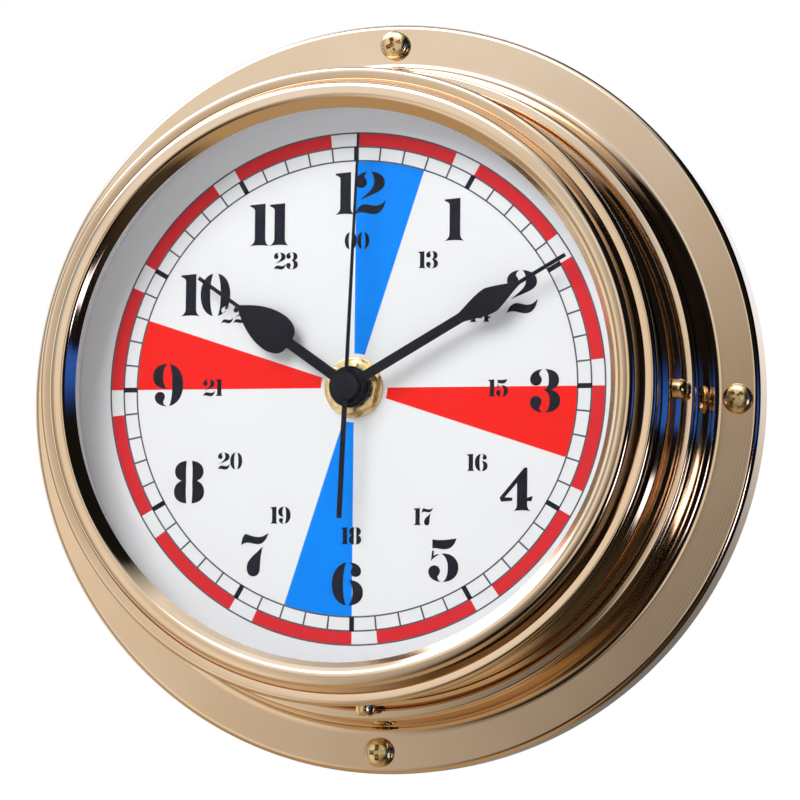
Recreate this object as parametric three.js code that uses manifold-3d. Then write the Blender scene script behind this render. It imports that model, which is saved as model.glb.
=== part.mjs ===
// A ship's wall clock: spun brass porthole case, bezel held by radial screws, printed dial, quartz movement.
// Lengths are in millimetres. The finished part stands +Z up, with its dial facing -Y.
// The origin is the centre of the wall plane. In the clock group X runs right, Y up and Z out from the wall.
import * as THREE from "three";
import { mergeVertices } from "three/addons/utils/BufferGeometryUtils.js";
import Module from "manifold-3d";

const wasm = await Module();
wasm.setup();

// Case: flange with a turned-back rim, sloping neck, shoulder and the spigot that the bezel slides over
const FLANGE_RADIUS = 90;
const RIM_DEPTH = 10;
const SHEET = 1.5;
const EDGE_ROUND = 1.5;
const HEM_WIDTH = 2.8;
const FLANGE_WIDTH = 10.4;
const NECK_FILLET = 1.2;
const NECK_FLARE = 2.6;
const NECK_HEIGHT = 9.9;
const SHOULDER_ROUND = 0.8;
const SHOULDER_WIDTH = 7.7;
const SPIGOT_HEIGHT = 18.6;

// Bezel: rear bead, screw groove, plain body, front bead and a rolled face with a bevelled lip
const BEZEL_CLEARANCE = 0.3;
const BEZEL_WALL = 1.5;
const REAR_BEAD_WALL = 7.8;
const REAR_BEAD_WIDTH = 3.4;
const REAR_BEAD_ROUND = 1.7;
const GROOVE_WALL = 3;
const GROOVE_FILLET = 0.8;
const GROOVE_WIDTH = 8;
const GROOVE_STEP = 1;
const FRONT_BEAD_HEIGHT = 2.5;
const FRONT_BEAD_WIDTH = 4;
const FRONT_BEAD_ROUND = 1.9;
const FRONT_WALL = 2.4;
const FACE_DEPTH = 1;
const FACE_FOOT = 3.7;
const NOSE_WIDTH = 2.3;
const RECESS_DEPTH = 3.9;
const RECESS_SLOPE = 2.6;
const BEVEL_WIDTH = 2.8;
const LIP_OVERLAP = 3.4;
const LIP_EDGE = 0.3;
const LIP_HEIGHT = 2.8;

// Glass, gasket, reflector ring and dial
const GLASS_STEP = 2.4;
const GLASS_THICKNESS = 2;
const GLASS_CLEARANCE = 0.1;
const GASKET_WIDTH = 2.2;
const GASKET_THICKNESS = 0.5;
const REFLECTOR_HEIGHT = 10.2;
const REFLECTOR_WALL = 1;
const REFLECTOR_FOOT = 1.5;
const REFLECTOR_CLEARANCE = 0.3;
const DIAL_THICKNESS = 1;
const DIAL_CLEARANCE = 0.1;

// Fasteners
const FLANGE_SCREW_HEAD_RADIUS = 3.5;
const FLANGE_SCREW_HEAD_HEIGHT = 2.2;
const FLANGE_SCREW_SHANK_RADIUS = 2;
const FLANGE_SCREW_LENGTH = 9;
const BEZEL_SCREW_HEAD_RADIUS = 2.3;
const BEZEL_SCREW_HEAD_HEIGHT = 3.4;
const BEZEL_SCREW_SHANK_RADIUS = 1.5;
const BEZEL_SCREW_END = 1.2;
const SCREW_CLEARANCE = 0.2;
const CROSS_WIDTH = 0.9;
const CROSS_DEPTH = 1.1;
const SCREW_COUNT = 4;

// Hands, seen from the front and turned clockwise from twelve
const HOUR_ANGLE = 305;
const MINUTE_ANGLE = 60;
const SECOND_ANGLE = 2.4;
const HAND_THICKNESS = 0.4;
const HAND_GAP = 0.4;
const HUB_HEIGHT = 1.2;
const HOUR_HUB_RADIUS = 4.8;
const HOUR_ARM_WIDTH = 2.5;
const HOUR_BULB_LENGTH = 4.6;
const HOUR_BULB_WIDTH = 9.4;
const HOUR_TAPER_LENGTH = 10.6;
const HOUR_POINT_LENGTH = 12;
const HOUR_TIP_ROOM = 20.9;
const MINUTE_HUB_RADIUS = 4.2;
const MINUTE_ARM_WIDTH = 2.3;
const MINUTE_SWELL_LENGTH = 8;
const MINUTE_SWELL_WIDTH = 6;
const MINUTE_TAPER_LENGTH = 7.5;
const MINUTE_POINT_LENGTH = 12.5;
const MINUTE_TIP_ROOM = 6.9;
const TIP_WIDTH = 0.9;
const SECOND_HUB_RADIUS = 3.2;
const SECOND_ROOT_WIDTH = 0.9;
const SECOND_TIP_WIDTH = 0.5;
const SECOND_TIP_ROOM = 7.4;
const SECOND_TAIL_WIDTH = 1.2;
const SECOND_TAIL_LENGTH = 30.5;

// Shafts and pipes on the centre line
const SECOND_SHAFT_RADIUS = 0.5;
const MINUTE_PIPE_WALL = 0.6;
const HOUR_PIPE_WALL = 0.7;
const RUN_CLEARANCE = 0.1;
const HUB_CLEARANCE = 0.05;
const SHAFT_SETBACK = 0.3;

// Movement fixing: threaded bushing, nut and washers
const BUSHING_RADIUS = 4;
const BUSHING_COLLAR_WIDTH = 1.6;
const BUSHING_COLLAR_HEIGHT = 1;
const BUSHING_CLEARANCE = 0.2;
const THREAD_END = 0.4;
const NUT_CORNER_RADIUS = 6.6;
const NUT_HEIGHT = 2;
const NUT_SIDES = 6;
const NUT_WASHER_WIDTH = 2.8;
const NUT_WASHER_THICKNESS = 0.4;
const RUBBER_WASHER_WIDTH = 5;
const RUBBER_WASHER_THICKNESS = 1;

// Movement housing
const MOVEMENT_DEPTH = 16;
const CASE_WALL = 1.5;
const COVER_CLEARANCE = 0.1;
const PIVOT_DEPTH = 1;

// Gear train: tooth counts, then distances and directions between arbors, in degrees from X towards Y
const ROTOR_TEETH = 6;
const INTERMEDIATE_TEETH = 36;
const INTERMEDIATE_PINION_TEETH = 6;
const SECOND_TEETH = 30;
const SECOND_PINION_TEETH = 6;
const THIRD_TEETH = 48;
const THIRD_PINION_TEETH = 6;
const CENTRE_TEETH = 45;
const CENTRE_PINION_TEETH = 8;
const MINUTE_TEETH = 24;
const MINUTE_PINION_TEETH = 6;
const HOUR_TEETH = 24;
const THIRD_DISTANCE = 9.6;
const THIRD_DIRECTION = 165;
const MOTION_DISTANCE = 10;
const MOTION_DIRECTION = 75;
const INTERMEDIATE_DISTANCE = 9.9;
const INTERMEDIATE_DIRECTION = -5;
const ROTOR_DISTANCE = 6.3;
const ROTOR_DIRECTION = 40;
const WHEEL_THICKNESS = 1;
const LEVEL_GAP = 0.7;
const PINION_OVERHANG = 0.2;
const ADDENDUM = 0.75;
const DEDENDUM = 1.2;
const TOOTH_ROOT_SHARE = 0.56;
const TOOTH_TIP_SHARE = 0.2;
const ARBOR_RADIUS = 0.5;
const MINUTE_ARBOR_RADIUS = 0.8;

// Motor, circuit and battery
const MAGNET_RADIUS = 2.2;
const MAGNET_HEIGHT = 2.8;
const STATOR_THICKNESS = 1.2;
const STATOR_AIR_GAP = 0.4;
const STATOR_RING_WIDTH = 1.6;
const STATOR_ARM_WIDTH = 3;
const COIL_RADIUS = 3.5;
const COIL_STATOR_GAP = 0.2;
const STATOR_TOP_GAP = 1.2;
const COIL_CLEARANCE = 0.3;
const COIL_SIDE_GAP = 0.4;
const CORE_WIDTH = 2.4;
const CORE_THICKNESS = 1.2;
const CORE_LAP = 2;
const BOBBIN_WALL = 0.5;
const BOBBIN_FLANGE = 0.8;
const BOARD_WIDTH = 16;
const BOARD_HEIGHT = 12;
const BOARD_THICKNESS = 1.2;
const BOARD_POST_RADIUS = 1.6;
const BOARD_MARGIN = 1;
const CRYSTAL_RADIUS = 1;
const CRYSTAL_LENGTH = 6;
const CHIP_RADIUS = 2.6;
const CHIP_HEIGHT = 1;
const BATTERY_RADIUS = 7.25;
const BATTERY_LENGTH = 50.5;
const BATTERY_NUB_RADIUS = 2.75;
const BATTERY_NUB_LENGTH = 1;
const BATTERY_ROUND = 0.6;
const BATTERY_CLEARANCE = 0.4;
const BATTERY_END_ROOM = 1.25;
const CONTACT_THICKNESS = 0.5;
const CONTACT_WIDTH = 8;
const CONTACT_DIMPLE_RADIUS = 2;
const KNOB_RADIUS = 5;
const KNOB_HEIGHT = 3.6;
const KNOB_GRIPS = 16;
const KNOB_GRIP_DEPTH = 0.5;
const KNOB_GAP = 0.3;

// Mesh fineness, and the gap left between pieces that rest on each other
const SEAT_GAP = 0.1;
const RING_SIDES = 48;
const ROUND_SIDES = 24;
const FINE_SIDES = 12;
const ARC_STEPS = 2;
const CURVE_STEPS = 6;
const MERGE_DISTANCE = 1e-4;

// Depths from the wall, stacked from the flange to the nose of the bezel
const flangeFront = RIM_DEPTH;
const shoulder = flangeFront + NECK_HEIGHT;
const spigotEnd = shoulder + SPIGOT_HEIGHT;
const dialBack = spigotEnd + SEAT_GAP;
const dialFront = dialBack + DIAL_THICKNESS;
const reflectorBack = dialFront + SEAT_GAP;
const reflectorFront = reflectorBack + REFLECTOR_HEIGHT;
const glassBack = reflectorFront + SEAT_GAP;
const glassFront = glassBack + GLASS_THICKNESS;
const gasketBack = glassFront + SEAT_GAP;
const gasketFront = gasketBack + GASKET_THICKNESS;
const lipSeat = gasketFront + SEAT_GAP;
const noseFront = lipSeat + LIP_HEIGHT;
const bezelRear = shoulder + SEAT_GAP;

// Radii that step inwards from the flange, then those that follow from the fits
const neckFootRadius = FLANGE_RADIUS - FLANGE_WIDTH;
const neckTopRadius = neckFootRadius - NECK_FLARE;
const spigotRadius = neckTopRadius - SHOULDER_WIDTH;
const glassRadius = spigotRadius - GLASS_STEP;
const flangeScrewCircle = (neckFootRadius + FLANGE_RADIUS) / 2;
const spigotInner = spigotRadius - SHEET;
const bezelBore = spigotRadius + BEZEL_CLEARANCE;
const bodyRadius = bezelBore + BEZEL_WALL;
const grooveRadius = bezelBore + GROOVE_WALL;
const rearBeadRadius = bezelBore + REAR_BEAD_WALL;
const recessRadius = glassRadius + GLASS_CLEARANCE;
const lipRadius = glassRadius - LIP_OVERLAP;
const noseRadius = lipRadius + BEVEL_WIDTH;
const faceFootRadius = recessRadius + FRONT_WALL;

// Depths of the movement and of the stack on its bushing
const rubberFront = dialBack - SEAT_GAP;
const rubberBack = rubberFront - RUBBER_WASHER_THICKNESS;
const movementFront = rubberBack - SEAT_GAP;
const movementRear = movementFront - MOVEMENT_DEPTH;
const frontInner = movementFront - CASE_WALL;
const rearInner = movementRear + CASE_WALL;
const nutWasherBack = dialFront + SEAT_GAP;
const nutBack = nutWasherBack + NUT_WASHER_THICKNESS + SEAT_GAP;
const nutFront = nutBack + NUT_HEIGHT;
const bushingEnd = nutFront + THREAD_END;
const hourHubBack = bushingEnd + HAND_GAP;
const hourHubFront = hourHubBack + HUB_HEIGHT;
const minuteHubBack = hourHubFront + HAND_GAP;
const minuteHubFront = minuteHubBack + HUB_HEIGHT;
const secondHubBack = minuteHubFront + HAND_GAP;
const secondHubFront = secondHubBack + HUB_HEIGHT;

// Radii of the pipes inside each other
const minuteBore = SECOND_SHAFT_RADIUS + RUN_CLEARANCE;
const minutePipeRadius = minuteBore + MINUTE_PIPE_WALL;
const hourBore = minutePipeRadius + RUN_CLEARANCE;
const hourPipeRadius = hourBore + HOUR_PIPE_WALL;
const bushingBore = hourPipeRadius + RUN_CLEARANCE;

// Levels of the gear train, counted from the dial side
const collarFront = frontInner - SEAT_GAP;
const collarBack = collarFront - BUSHING_COLLAR_HEIGHT;
const levelPitch = WHEEL_THICKNESS + LEVEL_GAP;
const levelFront = (level) => collarBack - LEVEL_GAP - level * levelPitch;
const levelBack = (level) => levelFront(level) - WHEEL_THICKNESS;
const HOUR_LEVEL = 0;
const MINUTE_LEVEL = 1;
const CENTRE_LEVEL = 2;
const THIRD_LEVEL = 3;
const SECOND_LEVEL = 4;
const INTERMEDIATE_LEVEL = 5;

// Arbor places on the movement's plan
const HALF_TURN = 180;
const radians = (degrees) => (degrees * Math.PI) / HALF_TURN;
const along = (direction, distance) =>
  new THREE.Vector2(Math.cos(radians(direction)), Math.sin(radians(direction))).multiplyScalar(distance);
const thirdPlace = along(THIRD_DIRECTION, THIRD_DISTANCE);
const minutePlace = along(MOTION_DIRECTION, MOTION_DISTANCE);
const intermediatePlace = along(INTERMEDIATE_DIRECTION, INTERMEDIATE_DISTANCE);
const rotorPlace = along(ROTOR_DIRECTION, ROTOR_DISTANCE).add(intermediatePlace);

// Solids and their cuts
function solidOf(geometry) {
  const bare = geometry.index ? geometry.toNonIndexed() : geometry.clone();
  bare.deleteAttribute("normal");
  bare.deleteAttribute("uv");
  const merged = mergeVertices(bare, MERGE_DISTANCE);
  return new wasm.Manifold(
    new wasm.Mesh({
      numProp: 3,
      vertProperties: merged.attributes.position.array,
      triVerts: new Uint32Array(merged.index.array),
    }),
  );
}

function geometryOf(solid) {
  const mesh = solid.getMesh();
  const geometry = new THREE.BufferGeometry();
  geometry.setAttribute("position", new THREE.BufferAttribute(mesh.vertProperties, 3));
  geometry.setIndex(new THREE.BufferAttribute(mesh.triVerts, 1));
  geometry.computeVertexNormals();
  return geometry;
}

function join(...geometries) {
  return geometryOf(geometries.map(solidOf).reduce((whole, next) => whole.add(next)));
}

function cut(geometry, ...tools) {
  return geometryOf(tools.map(solidOf).reduce((whole, tool) => whole.subtract(tool), solidOf(geometry)));
}

// Shapes
function turned(outline, sides) {
  const points = outline.map(([radius, depth]) => new THREE.Vector2(radius, depth));
  if (THREE.ShapeUtils.area(points) < 0) points.reverse();
  const closed = points[0].x > 0 || points[points.length - 1].x > 0;
  if (closed) points.push(points[0].clone());
  return new THREE.LatheGeometry(points, sides).rotateX(Math.PI / 2);
}

function tube(inner, outer, back, front, sides) {
  const outline = [
    [inner, back],
    [outer, back],
    [outer, front],
    [inner, front],
  ];
  return turned(outline, sides);
}

function rod(radius, back, front, sides) {
  const geometry = new THREE.CylinderGeometry(radius, radius, front - back, sides);
  return geometry.rotateX(Math.PI / 2).translate(0, 0, (front + back) / 2);
}

function block(left, right, bottom, top, back, front) {
  const geometry = new THREE.BoxGeometry(right - left, top - bottom, front - back);
  return geometry.translate((left + right) / 2, (bottom + top) / 2, (back + front) / 2);
}

function extruded(shape, back, front) {
  const geometry = new THREE.ExtrudeGeometry(shape, {
    depth: front - back,
    bevelEnabled: false,
    curveSegments: CURVE_STEPS,
  });
  return geometry.translate(0, 0, back);
}

function bend(radius, depth, round, start, end) {
  const points = [];
  for (let i = 0; i <= ARC_STEPS; i++) {
    const angle = radians(start + ((end - start) * i) / ARC_STEPS);
    points.push([radius + round * Math.cos(angle), depth + round * Math.sin(angle)]);
  }
  return points;
}

// A gear with one tooth, or one gap, pointing along the given direction in degrees.
function gear(teeth, module, direction, gapFirst, back, front) {
  const pitchRadius = (teeth * module) / 2;
  const root = pitchRadius - DEDENDUM * module;
  const tip = pitchRadius + ADDENDUM * module;
  const step = (2 * Math.PI) / teeth;
  const first = radians(direction) + (gapFirst ? step / 2 : 0);
  const corners = [
    [root, -TOOTH_ROOT_SHARE],
    [tip, -TOOTH_TIP_SHARE],
    [tip, TOOTH_TIP_SHARE],
    [root, TOOTH_ROOT_SHARE],
  ];
  const points = [];
  for (let tooth = 0; tooth < teeth; tooth++) {
    for (const [radius, share] of corners) {
      const angle = first + (tooth + share / 2) * step;
      points.push(new THREE.Vector2(radius * Math.cos(angle), radius * Math.sin(angle)));
    }
  }
  return extruded(new THREE.Shape(points), back, front);
}

const moduleFor = (distance, teeth, otherTeeth) => (2 * distance) / (teeth + otherTeeth);

function wheelAt(level, teeth, module, direction, gapFirst) {
  return gear(teeth, module, direction, gapFirst, levelBack(level), levelFront(level));
}

function pinionAt(level, teeth, module, direction, gapFirst) {
  const back = levelBack(level) - PINION_OVERHANG;
  const front = levelFront(level) + PINION_OVERHANG;
  return gear(teeth, module, direction, gapFirst, back, front);
}

// Materials
function finish(color, roughness, metalness) {
  return new THREE.MeshStandardMaterial({ color, roughness, metalness });
}
const polishedBrass = finish(0xc8a878, 0.12, 1);
const screwBrass = finish(0xc9a45c, 0.3, 1);
const clearGlass = new THREE.MeshStandardMaterial({
  color: 0xf4f8f8,
  roughness: 0.03,
  metalness: 0,
  transparent: true,
  opacity: 0.15,
});
const blackRubber = finish(0x161616, 0.8, 0);
const whiteEnamel = finish(0xf2f3f5, 0.35, 0);
const blackPaint = finish(0x101218, 0.4, 0);
const blackPlastic = finish(0x1b1c1e, 0.55, 0);
const whitePlastic = finish(0xe4e1d8, 0.5, 0);
const brightSteel = finish(0x9a9da0, 0.35, 1);
const magnetGrey = finish(0x59595c, 0.6, 1);
const copperWire = finish(0xa85a32, 0.4, 1);
const boardGreen = finish(0x2f6b3c, 0.6, 0);
const silverCan = finish(0xc7c9cc, 0.25, 1);
const batterySleeve = finish(0x2b4f8c, 0.4, 0);

// The clock's own frame, turned so that its depth runs to the front
const clock = new THREE.Group();
clock.rotation.x = Math.PI / 2;

function piece(name, geometry, material, holder = clock) {
  const mesh = new THREE.Mesh(geometry, material.clone());
  mesh.name = name;
  holder.add(mesh);
  return mesh;
}

function standAt(place) {
  const holder = new THREE.Group();
  holder.position.set(place.x, place.y, 0);
  clock.add(holder);
  return holder;
}

const quarterTurns = Array.from({ length: SCREW_COUNT }, (_, i) => (i * 2 * HALF_TURN) / SCREW_COUNT);

// Flange screw holes and radial bezel screw holes share these places
const grooveBack = bezelRear + REAR_BEAD_WIDTH;
const grooveFront = grooveBack + GROOVE_WIDTH;
const bezelScrewDepth = (grooveBack + grooveFront) / 2;
const flangeHoleRadius = FLANGE_SCREW_SHANK_RADIUS + SCREW_CLEARANCE;
const bezelHoleRadius = BEZEL_SCREW_SHANK_RADIUS + SCREW_CLEARANCE;

function flangeDrill(angle, radius) {
  const place = along(angle, flangeScrewCircle);
  return rod(radius, flangeFront - 2 * SHEET, flangeFront + SHEET, FINE_SIDES).translate(place.x, place.y, 0);
}

function radialDrill(angle, radius) {
  const drill = rod(radius, spigotInner - SHEET, rearBeadRadius + SHEET, FINE_SIDES);
  return drill
    .rotateY(Math.PI / 2)
    .translate(0, 0, bezelScrewDepth)
    .rotateZ(radians(angle));
}

// Base case
function baseCase() {
  const rimInner = FLANGE_RADIUS - SHEET;
  const hemInner = FLANGE_RADIUS - HEM_WIDTH;
  const outline = [
    [hemInner, 0],
    [FLANGE_RADIUS, 0],
    ...bend(FLANGE_RADIUS - EDGE_ROUND, flangeFront - EDGE_ROUND, EDGE_ROUND, 0, 90),
    ...bend(neckFootRadius + NECK_FILLET, flangeFront + NECK_FILLET, NECK_FILLET, 270, 180),
    ...bend(neckTopRadius - SHOULDER_ROUND, shoulder - SHOULDER_ROUND, SHOULDER_ROUND, 0, 90),
    [spigotRadius, shoulder],
    [spigotRadius, spigotEnd],
    [spigotInner, spigotEnd],
    [spigotInner, shoulder - SHEET],
    [neckTopRadius - SHEET, shoulder - SHEET],
    [neckFootRadius - SHEET, flangeFront - SHEET],
    [rimInner, flangeFront - SHEET],
    [rimInner, SHEET],
    [hemInner, SHEET],
  ];
  const flangeHoles = quarterTurns.map((angle) => flangeDrill(angle, flangeHoleRadius));
  const bezelHoles = quarterTurns.map((angle) => radialDrill(angle, bezelHoleRadius));
  return cut(turned(outline, RING_SIDES), ...flangeHoles, ...bezelHoles);
}
piece("base_case", baseCase(), polishedBrass);

// Bezel ring
function bezelRing() {
  const beadCentre = rearBeadRadius - REAR_BEAD_ROUND;
  const faceFoot = noseFront - FACE_DEPTH;
  const frontBeadFront = faceFoot - FACE_FOOT;
  const frontBeadBack = frontBeadFront - FRONT_BEAD_WIDTH;
  const frontBeadCentre = bodyRadius + FRONT_BEAD_HEIGHT - FRONT_BEAD_ROUND;
  const recessBack = lipSeat - RECESS_DEPTH;
  const face = new THREE.QuadraticBezierCurve(
    new THREE.Vector2(faceFootRadius, faceFoot),
    new THREE.Vector2(faceFootRadius, noseFront),
    new THREE.Vector2(noseRadius + NOSE_WIDTH, noseFront),
  );
  const outline = [
    [bezelBore, bezelRear],
    ...bend(beadCentre, bezelRear + REAR_BEAD_ROUND, REAR_BEAD_ROUND, -90, 0),
    ...bend(beadCentre, grooveBack - REAR_BEAD_ROUND, REAR_BEAD_ROUND, 0, 90),
    [grooveRadius + GROOVE_FILLET, grooveBack],
    [grooveRadius, grooveBack + GROOVE_FILLET],
    [grooveRadius, grooveFront],
    [bodyRadius, grooveFront + GROOVE_STEP],
    [bodyRadius, frontBeadBack],
    ...bend(frontBeadCentre, frontBeadBack + FRONT_BEAD_ROUND, FRONT_BEAD_ROUND, -90, 0),
    ...bend(frontBeadCentre, frontBeadFront - FRONT_BEAD_ROUND, FRONT_BEAD_ROUND, 0, 90),
    [faceFootRadius, frontBeadFront],
    ...face.getPoints(CURVE_STEPS).map((point) => [point.x, point.y]),
    [noseRadius, noseFront],
    [lipRadius, lipSeat + LIP_EDGE],
    [lipRadius, lipSeat],
    [recessRadius, lipSeat],
    [recessRadius, recessBack],
    [bezelBore, recessBack - RECESS_SLOPE],
  ];
  const holes = quarterTurns.map((angle) => radialDrill(angle, bezelHoleRadius));
  return cut(turned(outline, RING_SIDES), ...holes);
}
piece("bezel_ring", bezelRing(), polishedBrass);

// Screws with a raised head and a cross recess, made with the underside of the head at depth zero
function crossScrew(headRadius, headHeight, shankRadius, length) {
  const crown = new THREE.QuadraticBezierCurve(
    new THREE.Vector2(headRadius, headHeight / 2),
    new THREE.Vector2(headRadius, headHeight),
    new THREE.Vector2(0, headHeight),
  );
  const outline = [
    [0, -length],
    [shankRadius, -length],
    [shankRadius, 0],
    [headRadius, 0],
    ...crown.getPoints(ARC_STEPS).map((point) => [point.x, point.y]),
  ];
  const reach = headRadius * Math.SQRT1_2;
  const half = CROSS_WIDTH / 2;
  const bottom = headHeight - CROSS_DEPTH;
  const top = headHeight + CROSS_DEPTH;
  return cut(
    turned(outline, FINE_SIDES),
    block(-reach, reach, -half, half, bottom, top),
    block(-half, half, -reach, reach, bottom, top),
  );
}

quarterTurns.forEach((angle, i) => {
  const screw = crossScrew(
    FLANGE_SCREW_HEAD_RADIUS,
    FLANGE_SCREW_HEAD_HEIGHT,
    FLANGE_SCREW_SHANK_RADIUS,
    FLANGE_SCREW_LENGTH,
  );
  const place = along(angle, flangeScrewCircle);
  const mesh = piece(`flange_screw_${i + 1}`, screw, screwBrass);
  mesh.position.set(place.x, place.y, flangeFront + SEAT_GAP);
});

quarterTurns.forEach((angle, i) => {
  const length = grooveRadius + SEAT_GAP - spigotInner + BEZEL_SCREW_END;
  const screw = crossScrew(
    BEZEL_SCREW_HEAD_RADIUS,
    BEZEL_SCREW_HEAD_HEIGHT,
    BEZEL_SCREW_SHANK_RADIUS,
    length,
  );
  const spoke = new THREE.Group();
  spoke.rotation.z = radians(angle);
  clock.add(spoke);
  const mesh = piece(`bezel_screw_${i + 1}`, screw, screwBrass, spoke);
  mesh.rotation.y = Math.PI / 2;
  mesh.position.set(grooveRadius + SEAT_GAP, 0, bezelScrewDepth);
});

// Glass and the rings that hold it
const glassOutline = [
  [0, glassBack],
  [glassRadius, glassBack],
  [glassRadius, glassFront],
  [0, glassFront],
];
piece("front_glass", turned(glassOutline, RING_SIDES), clearGlass);
piece(
  "glass_gasket",
  tube(glassRadius - GASKET_WIDTH, glassRadius, gasketBack, gasketFront, RING_SIDES),
  blackRubber,
);

const reflectorInner = glassRadius - REFLECTOR_WALL;
const reflectorFootRadius = bezelBore - REFLECTOR_CLEARANCE;
const reflectorOutline = [
  [reflectorInner, reflectorBack],
  [reflectorFootRadius, reflectorBack],
  [reflectorFootRadius, reflectorBack + REFLECTOR_FOOT],
  [glassRadius, reflectorBack + REFLECTOR_FOOT],
  [glassRadius, reflectorFront],
  [reflectorInner, reflectorFront],
];
piece("reflector_ring", turned(reflectorOutline, RING_SIDES), whiteEnamel);

// Dial plate, clamped between the spigot and the reflector ring
const dialRadius = spigotRadius - DIAL_CLEARANCE;
const centreHole = BUSHING_RADIUS + BUSHING_CLEARANCE;
piece("dial_plate", tube(centreHole, dialRadius, dialBack, dialFront, RING_SIDES), whiteEnamel);

// Washers, nut and threaded bushing
piece(
  "rubber_washer",
  tube(centreHole, centreHole + RUBBER_WASHER_WIDTH, rubberBack, rubberFront, ROUND_SIDES),
  blackRubber,
);
piece(
  "nut_washer",
  tube(centreHole, centreHole + NUT_WASHER_WIDTH, nutWasherBack, nutBack - SEAT_GAP, ROUND_SIDES),
  screwBrass,
);
const nutBlank = rod(NUT_CORNER_RADIUS, nutBack, nutFront, NUT_SIDES);
const nutHole = rod(centreHole, nutBack - SEAT_GAP, nutFront + SEAT_GAP, ROUND_SIDES);
piece("centre_nut", cut(nutBlank, nutHole), screwBrass);

const bushingOutline = [
  [bushingBore, collarBack],
  [BUSHING_RADIUS + BUSHING_COLLAR_WIDTH, collarBack],
  [BUSHING_RADIUS + BUSHING_COLLAR_WIDTH, collarFront],
  [BUSHING_RADIUS, collarFront],
  [BUSHING_RADIUS, bushingEnd],
  [bushingBore, bushingEnd],
];
piece("centre_bushing", turned(bushingOutline, ROUND_SIDES), screwBrass);

// Hands: each tip stops short of the reflector ring, and one side of each outline is drawn and mirrored
const hourLength = reflectorInner - HOUR_TIP_ROOM;
const hourTaperEnd = hourLength - HOUR_POINT_LENGTH;
const hourBulbReach = hourTaperEnd - HOUR_TAPER_LENGTH;
const hourBulbStart = hourBulbReach - HOUR_BULB_LENGTH;
const minuteLength = reflectorInner - MINUTE_TIP_ROOM;
const minuteSwellEnd = minuteLength - MINUTE_POINT_LENGTH;
const minuteSwellReach = minuteSwellEnd - MINUTE_TAPER_LENGTH;
const minuteSwellStart = minuteSwellReach - MINUTE_SWELL_LENGTH;
const secondLength = reflectorInner - SECOND_TIP_ROOM;

function symmetricShape(side) {
  const right = side.getPoints(CURVE_STEPS);
  const left = right.map((point) => new THREE.Vector2(-point.x, point.y)).reverse();
  return new THREE.Shape([...right, ...left]);
}

function hourOutline() {
  const arm = HOUR_ARM_WIDTH / 2;
  const bulb = HOUR_BULB_WIDTH / 2;
  const tip = TIP_WIDTH / 2;
  const side = new THREE.Path();
  side.moveTo(arm, 0);
  side.lineTo(arm, hourBulbStart);
  side.bezierCurveTo(bulb, hourBulbStart, bulb, hourBulbReach, bulb, hourBulbReach);
  const taperMiddle = (hourBulbReach + hourTaperEnd) / 2;
  side.bezierCurveTo(bulb, taperMiddle, arm, hourTaperEnd - arm, tip, hourTaperEnd);
  side.lineTo(tip, hourLength);
  return symmetricShape(side);
}

function minuteOutline() {
  const arm = MINUTE_ARM_WIDTH / 2;
  const swell = MINUTE_SWELL_WIDTH / 2;
  const tip = TIP_WIDTH / 2;
  const side = new THREE.Path();
  side.moveTo(arm, 0);
  side.lineTo(arm, minuteSwellStart);
  side.quadraticCurveTo(swell, minuteSwellReach - swell, swell, minuteSwellReach);
  side.quadraticCurveTo(arm, minuteSwellEnd - swell, tip, minuteSwellEnd);
  side.lineTo(tip, minuteLength);
  return symmetricShape(side);
}

function secondOutline() {
  const side = new THREE.Path();
  side.moveTo(SECOND_TAIL_WIDTH / 2, -SECOND_TAIL_LENGTH);
  side.lineTo(SECOND_TAIL_WIDTH / 2, 0);
  side.lineTo(SECOND_ROOT_WIDTH / 2, 0);
  side.lineTo(SECOND_TIP_WIDTH / 2, secondLength);
  return symmetricShape(side);
}

function hand(outline, hubRadius, hubBack, boreRadius, boreFront) {
  const bladeBack = hubBack + (HUB_HEIGHT - HAND_THICKNESS) / 2;
  const blade = extruded(outline, bladeBack, bladeBack + HAND_THICKNESS);
  const hub = rod(hubRadius, hubBack, hubBack + HUB_HEIGHT, ROUND_SIDES);
  const bore = rod(boreRadius + HUB_CLEARANCE, hubBack - HUB_HEIGHT, boreFront, ROUND_SIDES);
  return cut(join(blade, hub), bore);
}

const hourHand = hand(hourOutline(), HOUR_HUB_RADIUS, hourHubBack, hourPipeRadius, hourHubFront + HUB_HEIGHT);
piece("hour_hand", hourHand, blackPaint).rotation.z = radians(-HOUR_ANGLE);

const minuteHand = hand(
  minuteOutline(),
  MINUTE_HUB_RADIUS,
  minuteHubBack,
  minutePipeRadius,
  minuteHubFront + HUB_HEIGHT,
);
piece("minute_hand", minuteHand, blackPaint).rotation.z = radians(-MINUTE_ANGLE);

const secondShaftFront = secondHubFront - SHAFT_SETBACK;
const secondHand = hand(
  secondOutline(),
  SECOND_HUB_RADIUS,
  secondHubBack,
  SECOND_SHAFT_RADIUS,
  secondShaftFront + HUB_CLEARANCE,
);
piece("second_hand", secondHand, blackPaint).rotation.z = radians(-SECOND_ANGLE);

// Pivots run in blind holes in the front of the housing and in its rear cover
const pivotFront = frontInner + PIVOT_DEPTH - SEAT_GAP;
const pivotRear = rearInner - PIVOT_DEPTH + SEAT_GAP;
function frontPivotHole(radius) {
  return rod(radius + RUN_CLEARANCE, frontInner - SEAT_GAP, frontInner + PIVOT_DEPTH, ROUND_SIDES);
}

function rearPivotHole(radius) {
  return rod(radius + RUN_CLEARANCE, rearInner - PIVOT_DEPTH, rearInner + SEAT_GAP, ROUND_SIDES);
}

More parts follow.
